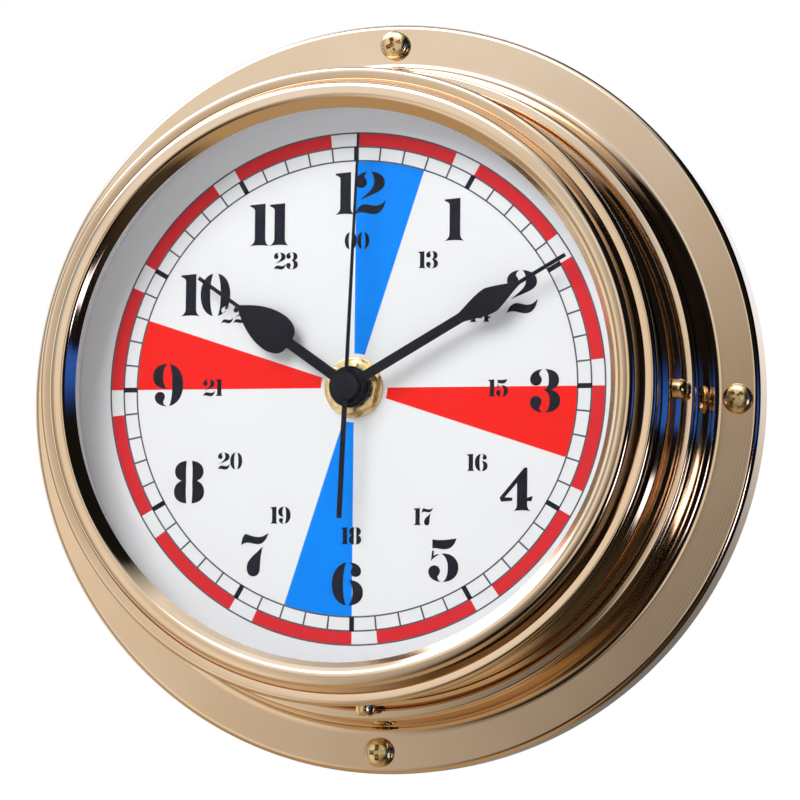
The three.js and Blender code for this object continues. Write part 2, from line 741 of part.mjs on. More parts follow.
// Seconds wheel and its shaft
const secondModule = moduleFor(INTERMEDIATE_DISTANCE, SECOND_TEETH, INTERMEDIATE_PINION_TEETH);
const thirdModule = moduleFor(THIRD_DISTANCE, THIRD_TEETH, SECOND_PINION_TEETH);
const secondWheel = join(
  wheelAt(SECOND_LEVEL, SECOND_TEETH, secondModule, INTERMEDIATE_DIRECTION, false),
  pinionAt(THIRD_LEVEL, SECOND_PINION_TEETH, thirdModule, THIRD_DIRECTION, true),
  rod(SECOND_SHAFT_RADIUS, pivotRear, secondShaftFront, ROUND_SIDES),
  rod(2 * SECOND_SHAFT_RADIUS, levelBack(SECOND_LEVEL), levelBack(THIRD_LEVEL), ROUND_SIDES),
);
piece("second_wheel", secondWheel, whitePlastic);

// Third wheel
const centreModule = moduleFor(THIRD_DISTANCE, CENTRE_TEETH, THIRD_PINION_TEETH);
const thirdWheel = join(
  wheelAt(THIRD_LEVEL, THIRD_TEETH, thirdModule, THIRD_DIRECTION + HALF_TURN, false),
  pinionAt(CENTRE_LEVEL, THIRD_PINION_TEETH, centreModule, THIRD_DIRECTION + HALF_TURN, true),
  rod(ARBOR_RADIUS, pivotRear, pivotFront, ROUND_SIDES),
);
piece("third_wheel", thirdWheel, whitePlastic, standAt(thirdPlace));

// Centre wheel with the minute pipe
const minuteModule = moduleFor(MOTION_DISTANCE, MINUTE_TEETH, CENTRE_PINION_TEETH);
const centreBlank = join(
  wheelAt(CENTRE_LEVEL, CENTRE_TEETH, centreModule, THIRD_DIRECTION, false),
  pinionAt(MINUTE_LEVEL, CENTRE_PINION_TEETH, minuteModule, MOTION_DIRECTION, true),
  rod(minutePipeRadius, levelBack(CENTRE_LEVEL), minuteHubFront, ROUND_SIDES),
);
const minuteBoreBack = levelBack(CENTRE_LEVEL) - LEVEL_GAP;
const minuteBoreTool = rod(minuteBore, minuteBoreBack, minuteHubFront + HUB_HEIGHT, ROUND_SIDES);
piece("centre_wheel", cut(centreBlank, minuteBoreTool), whitePlastic);

// Minute wheel, whose arbor carries the setting knob
const hourModule = moduleFor(MOTION_DISTANCE, HOUR_TEETH, MINUTE_PINION_TEETH);
const knobFront = movementRear - KNOB_GAP;
const knobRear = knobFront - KNOB_HEIGHT;
const minuteHolder = standAt(minutePlace);
const minuteWheel = join(
  wheelAt(MINUTE_LEVEL, MINUTE_TEETH, minuteModule, MOTION_DIRECTION + HALF_TURN, false),
  pinionAt(HOUR_LEVEL, MINUTE_PINION_TEETH, hourModule, MOTION_DIRECTION + HALF_TURN, true),
  rod(MINUTE_ARBOR_RADIUS, knobRear + SHAFT_SETBACK, pivotFront, ROUND_SIDES),
);
piece("minute_wheel", minuteWheel, whitePlastic, minuteHolder);

function knobShape() {
  const points = [];
  for (let i = 0; i < 2 * KNOB_GRIPS; i++) {
    const radius = KNOB_RADIUS - (i % 2) * KNOB_GRIP_DEPTH;
    const angle = (i * Math.PI) / KNOB_GRIPS;
    points.push(new THREE.Vector2(radius * Math.cos(angle), radius * Math.sin(angle)));
  }
  return new THREE.Shape(points);
}
const knobBore = rod(
  MINUTE_ARBOR_RADIUS + HUB_CLEARANCE,
  knobRear + SHAFT_SETBACK - HUB_CLEARANCE,
  knobFront + KNOB_GAP,
  ROUND_SIDES,
);
piece("setting_knob", cut(extruded(knobShape(), knobRear, knobFront), knobBore), whitePlastic, minuteHolder);

// Hour wheel with the hour pipe
const hourBlank = join(
  wheelAt(HOUR_LEVEL, HOUR_TEETH, hourModule, MOTION_DIRECTION, false),
  rod(hourPipeRadius, levelBack(HOUR_LEVEL), hourHubFront, ROUND_SIDES),
);
const hourBoreTool = rod(hourBore, levelBack(HOUR_LEVEL) - LEVEL_GAP, hourHubFront + HUB_HEIGHT, ROUND_SIDES);
piece("hour_wheel", cut(hourBlank, hourBoreTool), whitePlastic);

// Intermediate wheel between the rotor and the seconds wheel
const rotorModule = moduleFor(ROTOR_DISTANCE, INTERMEDIATE_TEETH, ROTOR_TEETH);
const intermediateWheel = join(
  wheelAt(INTERMEDIATE_LEVEL, INTERMEDIATE_TEETH, rotorModule, ROTOR_DIRECTION, false),
  pinionAt(SECOND_LEVEL, INTERMEDIATE_PINION_TEETH, secondModule, INTERMEDIATE_DIRECTION + HALF_TURN, true),
  rod(ARBOR_RADIUS, pivotRear, pivotFront, ROUND_SIDES),
);
piece("intermediate_wheel", intermediateWheel, whitePlastic, standAt(intermediatePlace));

// Rotor: a round magnet on a pinion
const magnetBack = levelFront(INTERMEDIATE_LEVEL) + LEVEL_GAP;
const magnetFront = magnetBack + MAGNET_HEIGHT;
const rotor = join(
  pinionAt(INTERMEDIATE_LEVEL, ROTOR_TEETH, rotorModule, ROTOR_DIRECTION + HALF_TURN, true),
  rod(MAGNET_RADIUS, magnetBack, magnetFront, ROUND_SIDES),
  rod(ARBOR_RADIUS, pivotRear, pivotFront, ROUND_SIDES),
);
piece("rotor", rotor, magnetGrey, standAt(rotorPlace));

// Stator plate round the rotor, with the coil standing across its two arms.
// The housing is as wide as the cell needs, or as the motor beside the train does.
const statorHole = MAGNET_RADIUS + STATOR_AIR_GAP;
const statorRing = statorHole + STATOR_RING_WIDTH;
const cellRoom = BATTERY_LENGTH / 2 + BATTERY_END_ROOM;
const motorRoom = rotorPlace.x + statorRing + COIL_STATOR_GAP + 2 * COIL_RADIUS + COIL_SIDE_GAP;
const innerHalf = Math.max(cellRoom, motorRoom);
const halfWidth = innerHalf + CASE_WALL;
const statorBack = (magnetBack + magnetFront - STATOR_THICKNESS) / 2;
const statorFront = statorBack + STATOR_THICKNESS;
const coilX = innerHalf - COIL_SIDE_GAP - COIL_RADIUS;
const armTop = innerHalf - STATOR_TOP_GAP;
const coilTop = armTop - STATOR_ARM_WIDTH - COIL_CLEARANCE;
const coilBottom = rotorPlace.y - statorRing;
const coilY = (coilTop + coilBottom) / 2;
const coilHalf = (coilTop - coilBottom) / 2;
const armBottom = coilBottom - COIL_CLEARANCE - STATOR_ARM_WIDTH;
const armRight = coilX + CORE_WIDTH / 2;
const stemLeft = rotorPlace.x - STATOR_ARM_WIDTH / 2;
const stemRight = rotorPlace.x + STATOR_ARM_WIDTH / 2;
const statorBlank = join(
  rod(statorRing, statorBack, statorFront, ROUND_SIDES).translate(rotorPlace.x, rotorPlace.y, 0),
  block(stemLeft, stemRight, armBottom, armTop, statorBack, statorFront),
  block(stemLeft, armRight, armTop - STATOR_ARM_WIDTH, armTop, statorBack, statorFront),
  block(stemLeft, armRight, armBottom, armBottom + STATOR_ARM_WIDTH, statorBack, statorFront),
);
const statorTool = rod(statorHole, statorBack - SEAT_GAP, statorFront + SEAT_GAP, ROUND_SIDES);
piece("stator", cut(statorBlank, statorTool.translate(rotorPlace.x, rotorPlace.y, 0)), brightSteel);

const coreBack = statorFront + SEAT_GAP;
const coreFront = coreBack + CORE_THICKNESS;
const coreTop = coilTop + COIL_CLEARANCE + CORE_LAP;
const coreBottom = coilBottom - COIL_CLEARANCE - CORE_LAP;
const coreLeft = coilX - CORE_WIDTH / 2;
const coreRight = coilX + CORE_WIDTH / 2;
piece("coil_core", block(coreLeft, coreRight, coreBottom, coreTop, coreBack, coreFront), brightSteel);

// Bobbin and winding round the core; the winding is a plain sleeve, sealed in the housing
const coilZ = (coreBack + coreFront) / 2;
const spoolRadius = Math.hypot(CORE_WIDTH, CORE_THICKNESS) / 2 + SEAT_GAP + BOBBIN_WALL;
const windingInner = spoolRadius + SEAT_GAP;
const windingHalf = coilHalf - BOBBIN_FLANGE - SEAT_GAP;
const standUp = (geometry) => geometry.rotateX(-Math.PI / 2).translate(coilX, coilY, coilZ);
const bobbinOutline = [
  [0, -coilHalf],
  [COIL_RADIUS, -coilHalf],
  [COIL_RADIUS, -coilHalf + BOBBIN_FLANGE],
  [spoolRadius, -coilHalf + BOBBIN_FLANGE],
  [spoolRadius, coilHalf - BOBBIN_FLANGE],
  [COIL_RADIUS, coilHalf - BOBBIN_FLANGE],
  [COIL_RADIUS, coilHalf],
  [0, coilHalf],
];
const coreSlot = block(
  coreLeft - SEAT_GAP,
  coreRight + SEAT_GAP,
  coreBottom,
  coreTop,
  coreBack - SEAT_GAP,
  coreFront + SEAT_GAP,
);
piece("coil_bobbin", cut(standUp(turned(bobbinOutline, ROUND_SIDES)), coreSlot), blackPlastic);
piece(
  "coil_winding",
  standUp(tube(windingInner, COIL_RADIUS - SEAT_GAP, -windingHalf, windingHalf, ROUND_SIDES)),
  copperWire,
);

// Battery bay along the bottom of the housing
const bayBottom = -innerHalf;
const batteryY = bayBottom + BATTERY_RADIUS + BATTERY_CLEARANCE;
const bayTop = batteryY + BATTERY_RADIUS + BATTERY_CLEARANCE;
const gearRoomBottom = bayTop + CASE_WALL;
const batteryZ = movementRear + MOVEMENT_DEPTH / 2;
const bayFront = batteryZ + BATTERY_RADIUS + BATTERY_CLEARANCE;

// Board posts stand on the inside of the housing front
const boardLeft = -innerHalf + BOARD_MARGIN;
const boardTop = innerHalf - BOARD_MARGIN;
const boardFront = levelFront(THIRD_LEVEL);
const boardBack = boardFront - BOARD_THICKNESS;
const boardPosts = [
  [boardLeft + BOARD_POST_RADIUS, boardTop - BOARD_POST_RADIUS],
  [boardLeft + BOARD_WIDTH - BOARD_POST_RADIUS, boardTop - BOARD_POST_RADIUS],
];

function movementCase() {
  const shell = block(-halfWidth, halfWidth, -halfWidth, halfWidth, movementRear, movementFront);
  const openRear = movementRear - CASE_WALL;
  const hollow = cut(
    shell,
    block(-innerHalf, innerHalf, gearRoomBottom, innerHalf, openRear, frontInner),
    block(-innerHalf, innerHalf, bayBottom, bayTop, openRear, bayFront),
  );
  const posts = boardPosts.map(([x, y]) =>
    rod(BOARD_POST_RADIUS, boardFront + SEAT_GAP, frontInner + SEAT_GAP, FINE_SIDES).translate(x, y, 0),
  );
  const pivots = [thirdPlace, intermediatePlace, rotorPlace].map((place) =>
    frontPivotHole(ARBOR_RADIUS).translate(place.x, place.y, 0),
  );
  return cut(
    join(hollow, ...posts),
    rod(BUSHING_RADIUS + RUN_CLEARANCE, frontInner - CASE_WALL, movementFront + CASE_WALL, ROUND_SIDES),
    frontPivotHole(MINUTE_ARBOR_RADIUS).translate(minutePlace.x, minutePlace.y, 0),
    ...pivots,
  );
}
piece("movement_case", movementCase(), blackPlastic);

function movementCover() {
  const side = innerHalf - COVER_CLEARANCE;
  const plate = block(-side, side, gearRoomBottom + COVER_CLEARANCE, side, movementRear, rearInner);
  const arbors = [new THREE.Vector2(), thirdPlace, intermediatePlace, rotorPlace];
  const knobHole = rod(
    MINUTE_ARBOR_RADIUS + RUN_CLEARANCE,
    movementRear - CASE_WALL,
    rearInner + CASE_WALL,
    ROUND_SIDES,
  );
  return cut(
    plate,
    knobHole.translate(minutePlace.x, minutePlace.y, 0),
    ...arbors.map((place) => rearPivotHole(ARBOR_RADIUS).translate(place.x, place.y, 0)),
  );
}
piece("movement_cover", movementCover(), blackPlastic);

// Circuit board with its crystal and chip
const boardRight = boardLeft + BOARD_WIDTH;
const boardBottom = boardTop - BOARD_HEIGHT;
const board = block(boardLeft, boardRight, boardBottom, boardTop, boardBack, boardFront);
piece("circuit_board", board, boardGreen);
const crystal = new THREE.CylinderGeometry(CRYSTAL_RADIUS, CRYSTAL_RADIUS, CRYSTAL_LENGTH, FINE_SIDES);
crystal.rotateZ(Math.PI / 2);
crystal.translate(
  boardRight - BOARD_MARGIN - CRYSTAL_LENGTH / 2,
  boardBottom + BOARD_MARGIN + CRYSTAL_RADIUS,
  boardBack - SEAT_GAP - CRYSTAL_RADIUS,
);
piece("quartz_crystal", crystal, silverCan);
const chipX = boardLeft + BOARD_MARGIN + CHIP_RADIUS;
const chipY = boardBottom + BOARD_MARGIN + CHIP_RADIUS;
const chip = rod(CHIP_RADIUS, boardBack - SEAT_GAP - CHIP_HEIGHT, boardBack - SEAT_GAP, FINE_SIDES);
piece("timing_chip", chip.translate(chipX, chipY, 0), blackPlastic);

// Battery and its two contacts
const batteryEnd = BATTERY_LENGTH / 2;
const canEnd = batteryEnd - BATTERY_NUB_LENGTH;
const batteryOutline = [
  [0, -batteryEnd],
  [BATTERY_RADIUS - BATTERY_ROUND, -batteryEnd],
  [BATTERY_RADIUS, -batteryEnd + BATTERY_ROUND],
  [BATTERY_RADIUS, canEnd - BATTERY_ROUND],
  [BATTERY_RADIUS - BATTERY_ROUND, canEnd],
  [BATTERY_NUB_RADIUS, canEnd],
  [BATTERY_NUB_RADIUS, batteryEnd],
  [0, batteryEnd],
];
const battery = turned(batteryOutline, ROUND_SIDES).rotateY(Math.PI / 2);
piece("battery_cell", battery.translate(0, batteryY, batteryZ), batterySleeve);

function contact(side) {
  const outer = innerHalf - SEAT_GAP;
  const inner = outer - CONTACT_THICKNESS;
  const half = CONTACT_WIDTH / 2;
  const plate = block(inner, outer, batteryY - half, batteryY + half, batteryZ - half, batteryZ + half);
  const dimple = rod(CONTACT_DIMPLE_RADIUS, batteryEnd + SEAT_GAP, outer, FINE_SIDES);
  const leaf = join(plate, dimple.rotateY(Math.PI / 2).translate(0, batteryY, batteryZ));
  return side > 0 ? leaf : leaf.rotateZ(Math.PI).translate(0, 2 * batteryY, 0);
}
piece("contact_positive", contact(1), brightSteel);
piece("contact_negative", contact(-1), brightSteel);

const shipsClock = new THREE.Group();
shipsClock.add(clock);

export default shipsClock;
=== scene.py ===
# A ship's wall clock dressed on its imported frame: brass case and bezel, printed dial, quartz movement.
# The dial faces -Y, the wall is the plane y = 0 and +Z is up. The clock's sizes are in millimetres, with
# depths from the wall, and the studio's are in metres.
import math

import bmesh
import bpy
from mathutils import Matrix, Vector


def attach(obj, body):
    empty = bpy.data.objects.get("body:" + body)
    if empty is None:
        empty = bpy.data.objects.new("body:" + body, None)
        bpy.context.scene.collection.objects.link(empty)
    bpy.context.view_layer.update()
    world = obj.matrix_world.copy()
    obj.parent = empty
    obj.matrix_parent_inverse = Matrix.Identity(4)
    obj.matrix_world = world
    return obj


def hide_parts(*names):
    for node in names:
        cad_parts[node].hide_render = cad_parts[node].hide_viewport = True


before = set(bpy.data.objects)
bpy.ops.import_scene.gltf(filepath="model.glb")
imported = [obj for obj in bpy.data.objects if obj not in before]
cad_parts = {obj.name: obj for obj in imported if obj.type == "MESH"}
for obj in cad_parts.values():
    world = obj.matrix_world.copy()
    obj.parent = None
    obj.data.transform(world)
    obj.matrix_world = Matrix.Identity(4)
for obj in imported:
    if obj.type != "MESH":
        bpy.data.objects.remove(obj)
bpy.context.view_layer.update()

# Base case
# Flange, neck and spigot are spun from one brass sheet, and the rim is turned back to meet the wall.
# The outside is polished on the lathe, which leaves fine rings all round under the lacquer.
MM = 0.001
TURNED_SIDES = 256
CORNER_STEPS = 8
SHARP_EDGE = math.radians(32)
FLANGE_SCREW_CIRCLE = 84.8
FLANGE_SCREW_TURN = math.radians(0.8)
FLANGE_HOLE = 2.2
FLANGE_DRILL = (-12, -7)
BEZEL_SCREW_DEPTH = 27.4
BEZEL_HOLE = 1.7
SPIGOT_DRILL = (66, 71)
DRILL_SIDES = 32
MERGE_DISTANCE = 1e-4
EVEN_WEIGHT = 100
NOISE_LOW = 0.3
NOISE_HIGH = 0.7
CASE_CORNERS = [
    (87.2, 0, 0.3),
    (90, 0, 0.3),
    (90, 10, 1.5),
    (79.0, 10, 2.2, 1.2),
    (78.6, 15.5, 2.5),
    (77, 19.9, 0.9),
    (69.3, 19.9, 0.3),
    (69.3, 38.5, 0.2),
    (67.8, 38.5, 0.2),
    (67.8, 18.4, 0.6),
    (75.5, 18.4, 0.6),
    (77.5, 8.5, 1.2),
    (88.5, 8.5, 0.8),
    (88.5, 1.5, 0.4),
    (87.2, 1.5, 0.2),
]


def set_inputs(node, inputs):
    """Links or sets each named or numbered input of a node."""
    for key, value in inputs.items():
        socket = node.inputs[key]
        if isinstance(value, bpy.types.NodeSocket):
            node.id_data.links.new(value, socket)
        else:
            socket.default_value = value


def add_node(tree, kind, inputs=None, **settings):
    """Adds a node and sets its properties and inputs."""
    node = tree.nodes.new(kind)
    for name, value in settings.items():
        setattr(node, name, value)
    set_inputs(node, inputs or {})
    return node


def made(tree, kind, inputs=None, **settings):
    """The first output of a new node."""
    return add_node(tree, kind, inputs, **settings).outputs[0]


def worked(tree, operation, *values):
    """One step of arithmetic on values from nodes."""
    return made(tree, "ShaderNodeMath", dict(enumerate(values)), operation=operation)


def softened(corners):
    """Rounds an outline's corners: radius, depth and how far from the corner its curve starts and ends."""
    points = []
    for i, (radius, depth, *cuts) in enumerate(corners):
        before, here, after = (Vector(corners[(i + k) % len(corners)][:2]) for k in (-1, 0, 1))
        if not cuts:
            points.append((radius, depth))
            continue
        start = here + (before - here).normalized() * cuts[0]
        end = here + (after - here).normalized() * cuts[-1]
        for step in range(CORNER_STEPS + 1):
            t = step / CORNER_STEPS
            points.append(tuple(start * (1 - t) ** 2 + here * 2 * t * (1 - t) + end * t**2))
    return points


def new_tree(name, sockets):
    """A geometry tree with named inputs, each with its kind, and one output."""
    tree = bpy.data.node_groups.new(name, "GeometryNodeTree")
    for socket, kind in sockets.items():
        tree.interface.new_socket(socket, in_out="INPUT", socket_type="NodeSocket" + kind)
    tree.interface.new_socket("Result", in_out="OUTPUT", socket_type="NodeSocketGeometry")
    return tree, add_node(tree, "NodeGroupInput").outputs


def end_tree(tree, given, geometry):
    """Ends a tree with real geometry in the given finish."""
    real = made(tree, "GeometryNodeRealizeInstances", {"Geometry": geometry})
    done = made(tree, "GeometryNodeSetMaterial", {"Geometry": real, "Material": given["Finish"]})
    add_node(tree, "NodeGroupOutput", {"Result": done})


def turning_tree():
    """A lathe: sweeps a closed outline of radius and depth once round the clock's axis."""
    sockets = {"Outline": "Geometry", "Sides": "Int", "Ring Radius": "Float", "Finish": "Material"}
    tree, given = new_tree("turning", sockets)
    outline = made(tree, "GeometryNodeMeshToCurve", {"Mesh": given["Outline"]})
    circle = {"Resolution": given["Sides"], "Radius": given["Ring Radius"]}
    ring = made(tree, "GeometryNodeCurvePrimitiveCircle", circle)
    swept = made(tree, "GeometryNodeCurveToMesh", {"Curve": ring, "Profile Curve": outline})
    closed = made(tree, "GeometryNodeMergeByDistance", {"Geometry": swept, "Distance": MERGE_DISTANCE})
    facing = made(tree, "GeometryNodeTransform", {"Geometry": closed, "Rotation": (math.radians(90), 0, 0)})
    end_tree(tree, given, facing)
    return tree


def evaluated_mesh(holder):
    """The mesh that an object's modifiers give. The object itself is removed."""
    depsgraph = bpy.context.evaluated_depsgraph_get()
    mesh = bpy.data.meshes.new_from_object(holder.evaluated_get(depsgraph))
    bpy.data.objects.remove(holder)
    return mesh


def holder_of(data):
    holder = bpy.data.objects.new("workpiece", data)
    bpy.context.scene.collection.objects.link(holder)
    return holder


def run_tree(tree, data, values):
    """Runs a node tree on a mesh, with its named inputs set, and returns the plain mesh that it makes."""
    holder = holder_of(data)
    modifier = holder.modifiers.new("shape", "NODES")
    modifier.node_group = tree
    for socket in tree.interface.items_tree:
        if socket.in_out == "INPUT" and socket.name in values:
            modifier[socket.identifier] = values[socket.name]
    return evaluated_mesh(holder)


def outward(mesh):
    """Merges doubles and turns the faces of a closed mesh outwards."""
    shape = bmesh.new()
    shape.from_mesh(mesh)
    bmesh.ops.remove_doubles(shape, verts=shape.verts, dist=MERGE_DISTANCE)
    bmesh.ops.recalc_face_normals(shape, faces=shape.faces)
    shape.to_mesh(mesh)
    shape.free()
    return mesh


lathe = turning_tree()


def turned(points, finish, sides=TURNED_SIDES):
    """A closed piece turned from an outline of radius and depth."""
    ring = max(radius for radius, depth in points)
    outline = bpy.data.meshes.new("outline")
    count = len(points)
    edges = [(i, (i + 1) % count) for i in range(count)]
    outline.from_pydata([(radius - ring, -depth, 0) for radius, depth in points], edges, [])
    return outward(run_tree(lathe, outline, {"Sides": sides, "Ring Radius": ring, "Finish": finish}))


def carved(mesh, tool, operation="DIFFERENCE"):
    """A mesh cut by, joined to, or kept inside another closed mesh."""
    other = holder_of(tool)
    holder = holder_of(mesh)
    modifier = holder.modifiers.new("carve", "BOOLEAN")
    modifier.operation = operation
    modifier.solver = "EXACT"
    modifier.object = other
    result = evaluated_mesh(holder)
    bpy.data.objects.remove(other)
    return result


def drills(radius, low, high, axis, place, start=0.0):
    """Four drill bits a quarter turn apart, each a bar along its axis from low to high."""
    shape = bmesh.new()
    for turn in range(4):
        quarter = Matrix.Rotation(start + turn * math.pi / 2, 4, "Y")
        lie = Vector((0, 0, 1)).rotation_difference(Vector(axis)).to_matrix().to_4x4()
        middle = Matrix.Translation(Vector(place) + Vector(axis) * (low + high) / 2)
        bmesh.ops.create_cone(
            shape,
            cap_ends=True,
            segments=DRILL_SIDES,
            radius1=radius,
            radius2=radius,
            depth=high - low,
            matrix=quarter @ middle @ lie,
        )
    mesh = bpy.data.meshes.new("drills")
    shape.to_mesh(mesh)
    shape.free()
    return mesh


def piece(name, mesh, body, finish, replaced=()):
    """Puts a finished mesh, made in millimetres, at the origin in metres and rides it on its body."""
    mesh.transform(Matrix.Scale(MM, 4))
    mesh.shade_smooth()
    mesh.set_sharp_from_angle(angle=SHARP_EDGE)
    mesh.materials.clear()
    mesh.materials.append(finish)
    holder = holder_of(mesh)
    even = holder.modifiers.new("even", "WEIGHTED_NORMAL")
    even.keep_sharp = True
    even.weight = EVEN_WEIGHT
    shown = bpy.data.objects.new(name, evaluated_mesh(holder))
    bpy.context.scene.collection.objects.link(shown)
    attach(shown, body)
    if replaced:
        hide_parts(*replaced)
    return shown


def new_finish(name):
    """A new material with its node tree and the place on the object."""
    material = bpy.data.materials.new(name)
    material.use_nodes = True
    tree = material.node_tree
    return material, tree, add_node(tree, "ShaderNodeTexCoord").outputs["Object"]


def finished(material, look):
    """Sets the inputs of a material's main shader."""
    set_inputs(material.node_tree.nodes["Principled BSDF"], look)
    return material


def mixed_colour(tree, share, first, second):
    """Mixes two colours, each plain or from nodes, by a share from nodes."""
    inputs = {0: share}
    for key, colour in ((6, first), (7, second)):
        inputs[key] = colour if isinstance(colour, bpy.types.NodeSocket) else (*colour, 1)
    return add_node(tree, "ShaderNodeMix", inputs, data_type="RGBA").outputs[2]


def ranged(tree, value, low, high, start=0.0, end=1.0, **settings):
    """Maps a value from start to end onto low to high."""
    inputs = {"Value": value, "From Min": start, "From Max": end, "To Min": low, "To Max": high}
    return made(tree, "ShaderNodeMapRange", inputs, **settings)


def spread(tree, value, low, high):
    """Maps the usual span of a noise onto low to high."""
    return ranged(tree, value, low, high, NOISE_LOW, NOISE_HIGH)


def noise(tree, place, scale, detail=2.0):
    inputs = {"Vector": place, "Scale": scale, "Detail": detail}
    return add_node(tree, "ShaderNodeTexNoise", inputs).outputs["Fac"]


def bumped(tree, height, depth, strength=1.0):
    """A normal for a surface whose height goes up by depth, in metres."""
    return made(tree, "ShaderNodeBump", {"Height": height, "Distance": depth, "Strength": strength})


def grained(name, colours, tone, rough, bump=None, gloss=None, skin=None, span=None, metal=0.0, shine=0.5):
    """A finish of two colours, uneven gloss and a fine skin, each after its own noise or the one before."""
    material, tree, place = new_finish(name)
    tones = noise(tree, place, *tone)
    glosses = noise(tree, place, *gloss) if gloss else tones
    skins = noise(tree, place, *skin) if skin else glosses
    share = ranged(tree, tones, 0.0, 1.0, *span) if span else tones
    look = {
        "Base Color": mixed_colour(tree, share, *colours),
        "Roughness": spread(tree, glosses, *rough),
        "Metallic": metal,
        "Specular IOR Level": shine,
    }
    if bump:
        look["Normal"] = bumped(tree, skins, *bump)
    return finished(material, look)


def turned_brass(name, bright, dull, smooth, rough):
    """Brass polished on a lathe: fine rings round the clock's axis, and faint clouds in the lacquer."""
    material, tree, place = new_finish(name)
    axes = add_node(tree, "ShaderNodeSeparateXYZ", {0: place}).outputs
    across = made(tree, "ShaderNodeCombineXYZ", {"X": axes["X"], "Y": axes["Z"]})
    radius = add_node(tree, "ShaderNodeVectorMath", {0: across}, operation="LENGTH").outputs["Value"]
    section = made(tree, "ShaderNodeCombineXYZ", {"X": radius, "Y": axes["Y"]})
    rings = noise(tree, section, 2400.0, 3.0)
    clouds = noise(tree, place, 38.0, 4.0)
    toning = ranged(tree, clouds, 0.0, 1.0, 0.35, 0.7)
    look = {
        "Base Color": mixed_colour(tree, toning, bright, dull),
        "Roughness": spread(tree, rings, smooth, rough),
        "Normal": bumped(tree, rings, 0.000004),
        "Metallic": 1.0,
    }
    return finished(material, look)


case_brass = turned_brass("case_brass", (0.80, 0.585, 0.385), (0.75, 0.53, 0.33), 0.07, 0.11)
case_mesh = turned(softened(CASE_CORNERS), case_brass)
flange_place = (FLANGE_SCREW_CIRCLE, 0, 0)
flange_drills = drills(FLANGE_HOLE, *FLANGE_DRILL, (0, 1, 0), flange_place, FLANGE_SCREW_TURN)
case_mesh = carved(case_mesh, flange_drills)
bezel_screw_place = (0, -BEZEL_SCREW_DEPTH, 0)
case_mesh = carved(case_mesh, drills(BEZEL_HOLE, *SPIGOT_DRILL, (1, 0, 0), bezel_screw_place))
piece("case_spun_brass", case_mesh, "case", case_brass, ["base_case"])

# Flange screws
# Four raised-head cross screws, turned from brass rod and lightly polished, hold the clock to the wall.
# Rod brass is yellower than the spun case, with a fine grain and patches of tarnish. Each screw was driven
# home by hand, so the cross in every head lies another way.
FLANGE_HEAD = 3.5
FLANGE_HEAD_HEIGHT = 2.2
FLANGE_SHANK = 2.0
FLANGE_SCREW_LENGTH = 9.0
FLANGE_SCREW_SEAT = 10.1
CROSS_WIDTH = 1.4
CROSS_DEPTH = 1.9
CROSS_CORNER = 1.35
CROSS_TAPER = 0.55
CROWN_DROP = 0.6
CROWN_REACH = 0.8
UNDERHEAD_ROUND = 0.2
POINT_SHARE = 0.6
THREAD_PITCH = 1.0
THREAD_DEPTH = 0.35
SCREW_SIDES = 64
QUARTER_TURN = math.pi / 2
FLANGE_SEED = 5


def ring_tree():
    """Sets copies of a part round the clock's axis, each turned on its own axis by a random share of Spin."""
    sockets = {
        "Part": "Geometry",
        "Count": "Int",
        "Ring Radius": "Float",
        "Depth": "Float",
        "Start": "Float",
        "Own Axis": "Vector",
        "Spin": "Float",
        "Seed": "Int",
        "Finish": "Material",
    }
    tree, given = new_tree("round_the_axis", sockets)
    points = made(tree, "GeometryNodeMeshLine", {"Count": given["Count"], "Offset": (0, 0, 0)})
    copies = made(tree, "GeometryNodeInstanceOnPoints", {"Points": points, "Instance": given["Part"]})
    chance = add_node(tree, "FunctionNodeRandomValue", {"Seed": given["Seed"]}, data_type="FLOAT").outputs[1]
    angle = worked(tree, "MULTIPLY", chance, given["Spin"])
    own_turn = made(tree, "ShaderNodeVectorMath", {0: given["Own Axis"], "Scale": angle}, operation="SCALE")
    spun = made(tree, "GeometryNodeRotateInstances", {"Instances": copies, "Rotation": own_turn})
    outwards = worked(tree, "MULTIPLY", given["Depth"], -1.0)
    shift = made(tree, "ShaderNodeCombineXYZ", {"X": given["Ring Radius"], "Y": outwards})
    shifting = {"Instances": spun, "Translation": shift, "Local Space": False}
    moved = made(tree, "GeometryNodeTranslateInstances", shifting)
    index = made(tree, "GeometryNodeInputIndex")
    part_turn = worked(tree, "DIVIDE", 2 * math.pi, given["Count"])
    ring_turn = worked(tree, "MULTIPLY_ADD", index, part_turn, given["Start"])
    around = made(tree, "ShaderNodeCombineXYZ", {"Y": ring_turn})
    turning = {"Instances": moved, "Rotation": around, "Pivot Point": (0, 0, 0), "Local Space": False}
    end_tree(tree, given, made(tree, "GeometryNodeRotateInstances", turning))
    return tree


round_the_axis = ring_tree()


def set_round(mesh, count, finish, radius=0.0, depth=0.0, start=0.0, own_axis=(0, 1, 0), spin=0.0, seed=0):
    """A number of copies of a mesh, evenly round the clock's axis."""
    values = {
        "Start": start,
        "Count": count,
        "Ring Radius": radius,
        "Depth": depth,
        "Own Axis": own_axis,
        "Spin": spin,
        "Seed": seed,
        "Finish": finish,
    }
    return run_tree(round_the_axis, mesh, values)


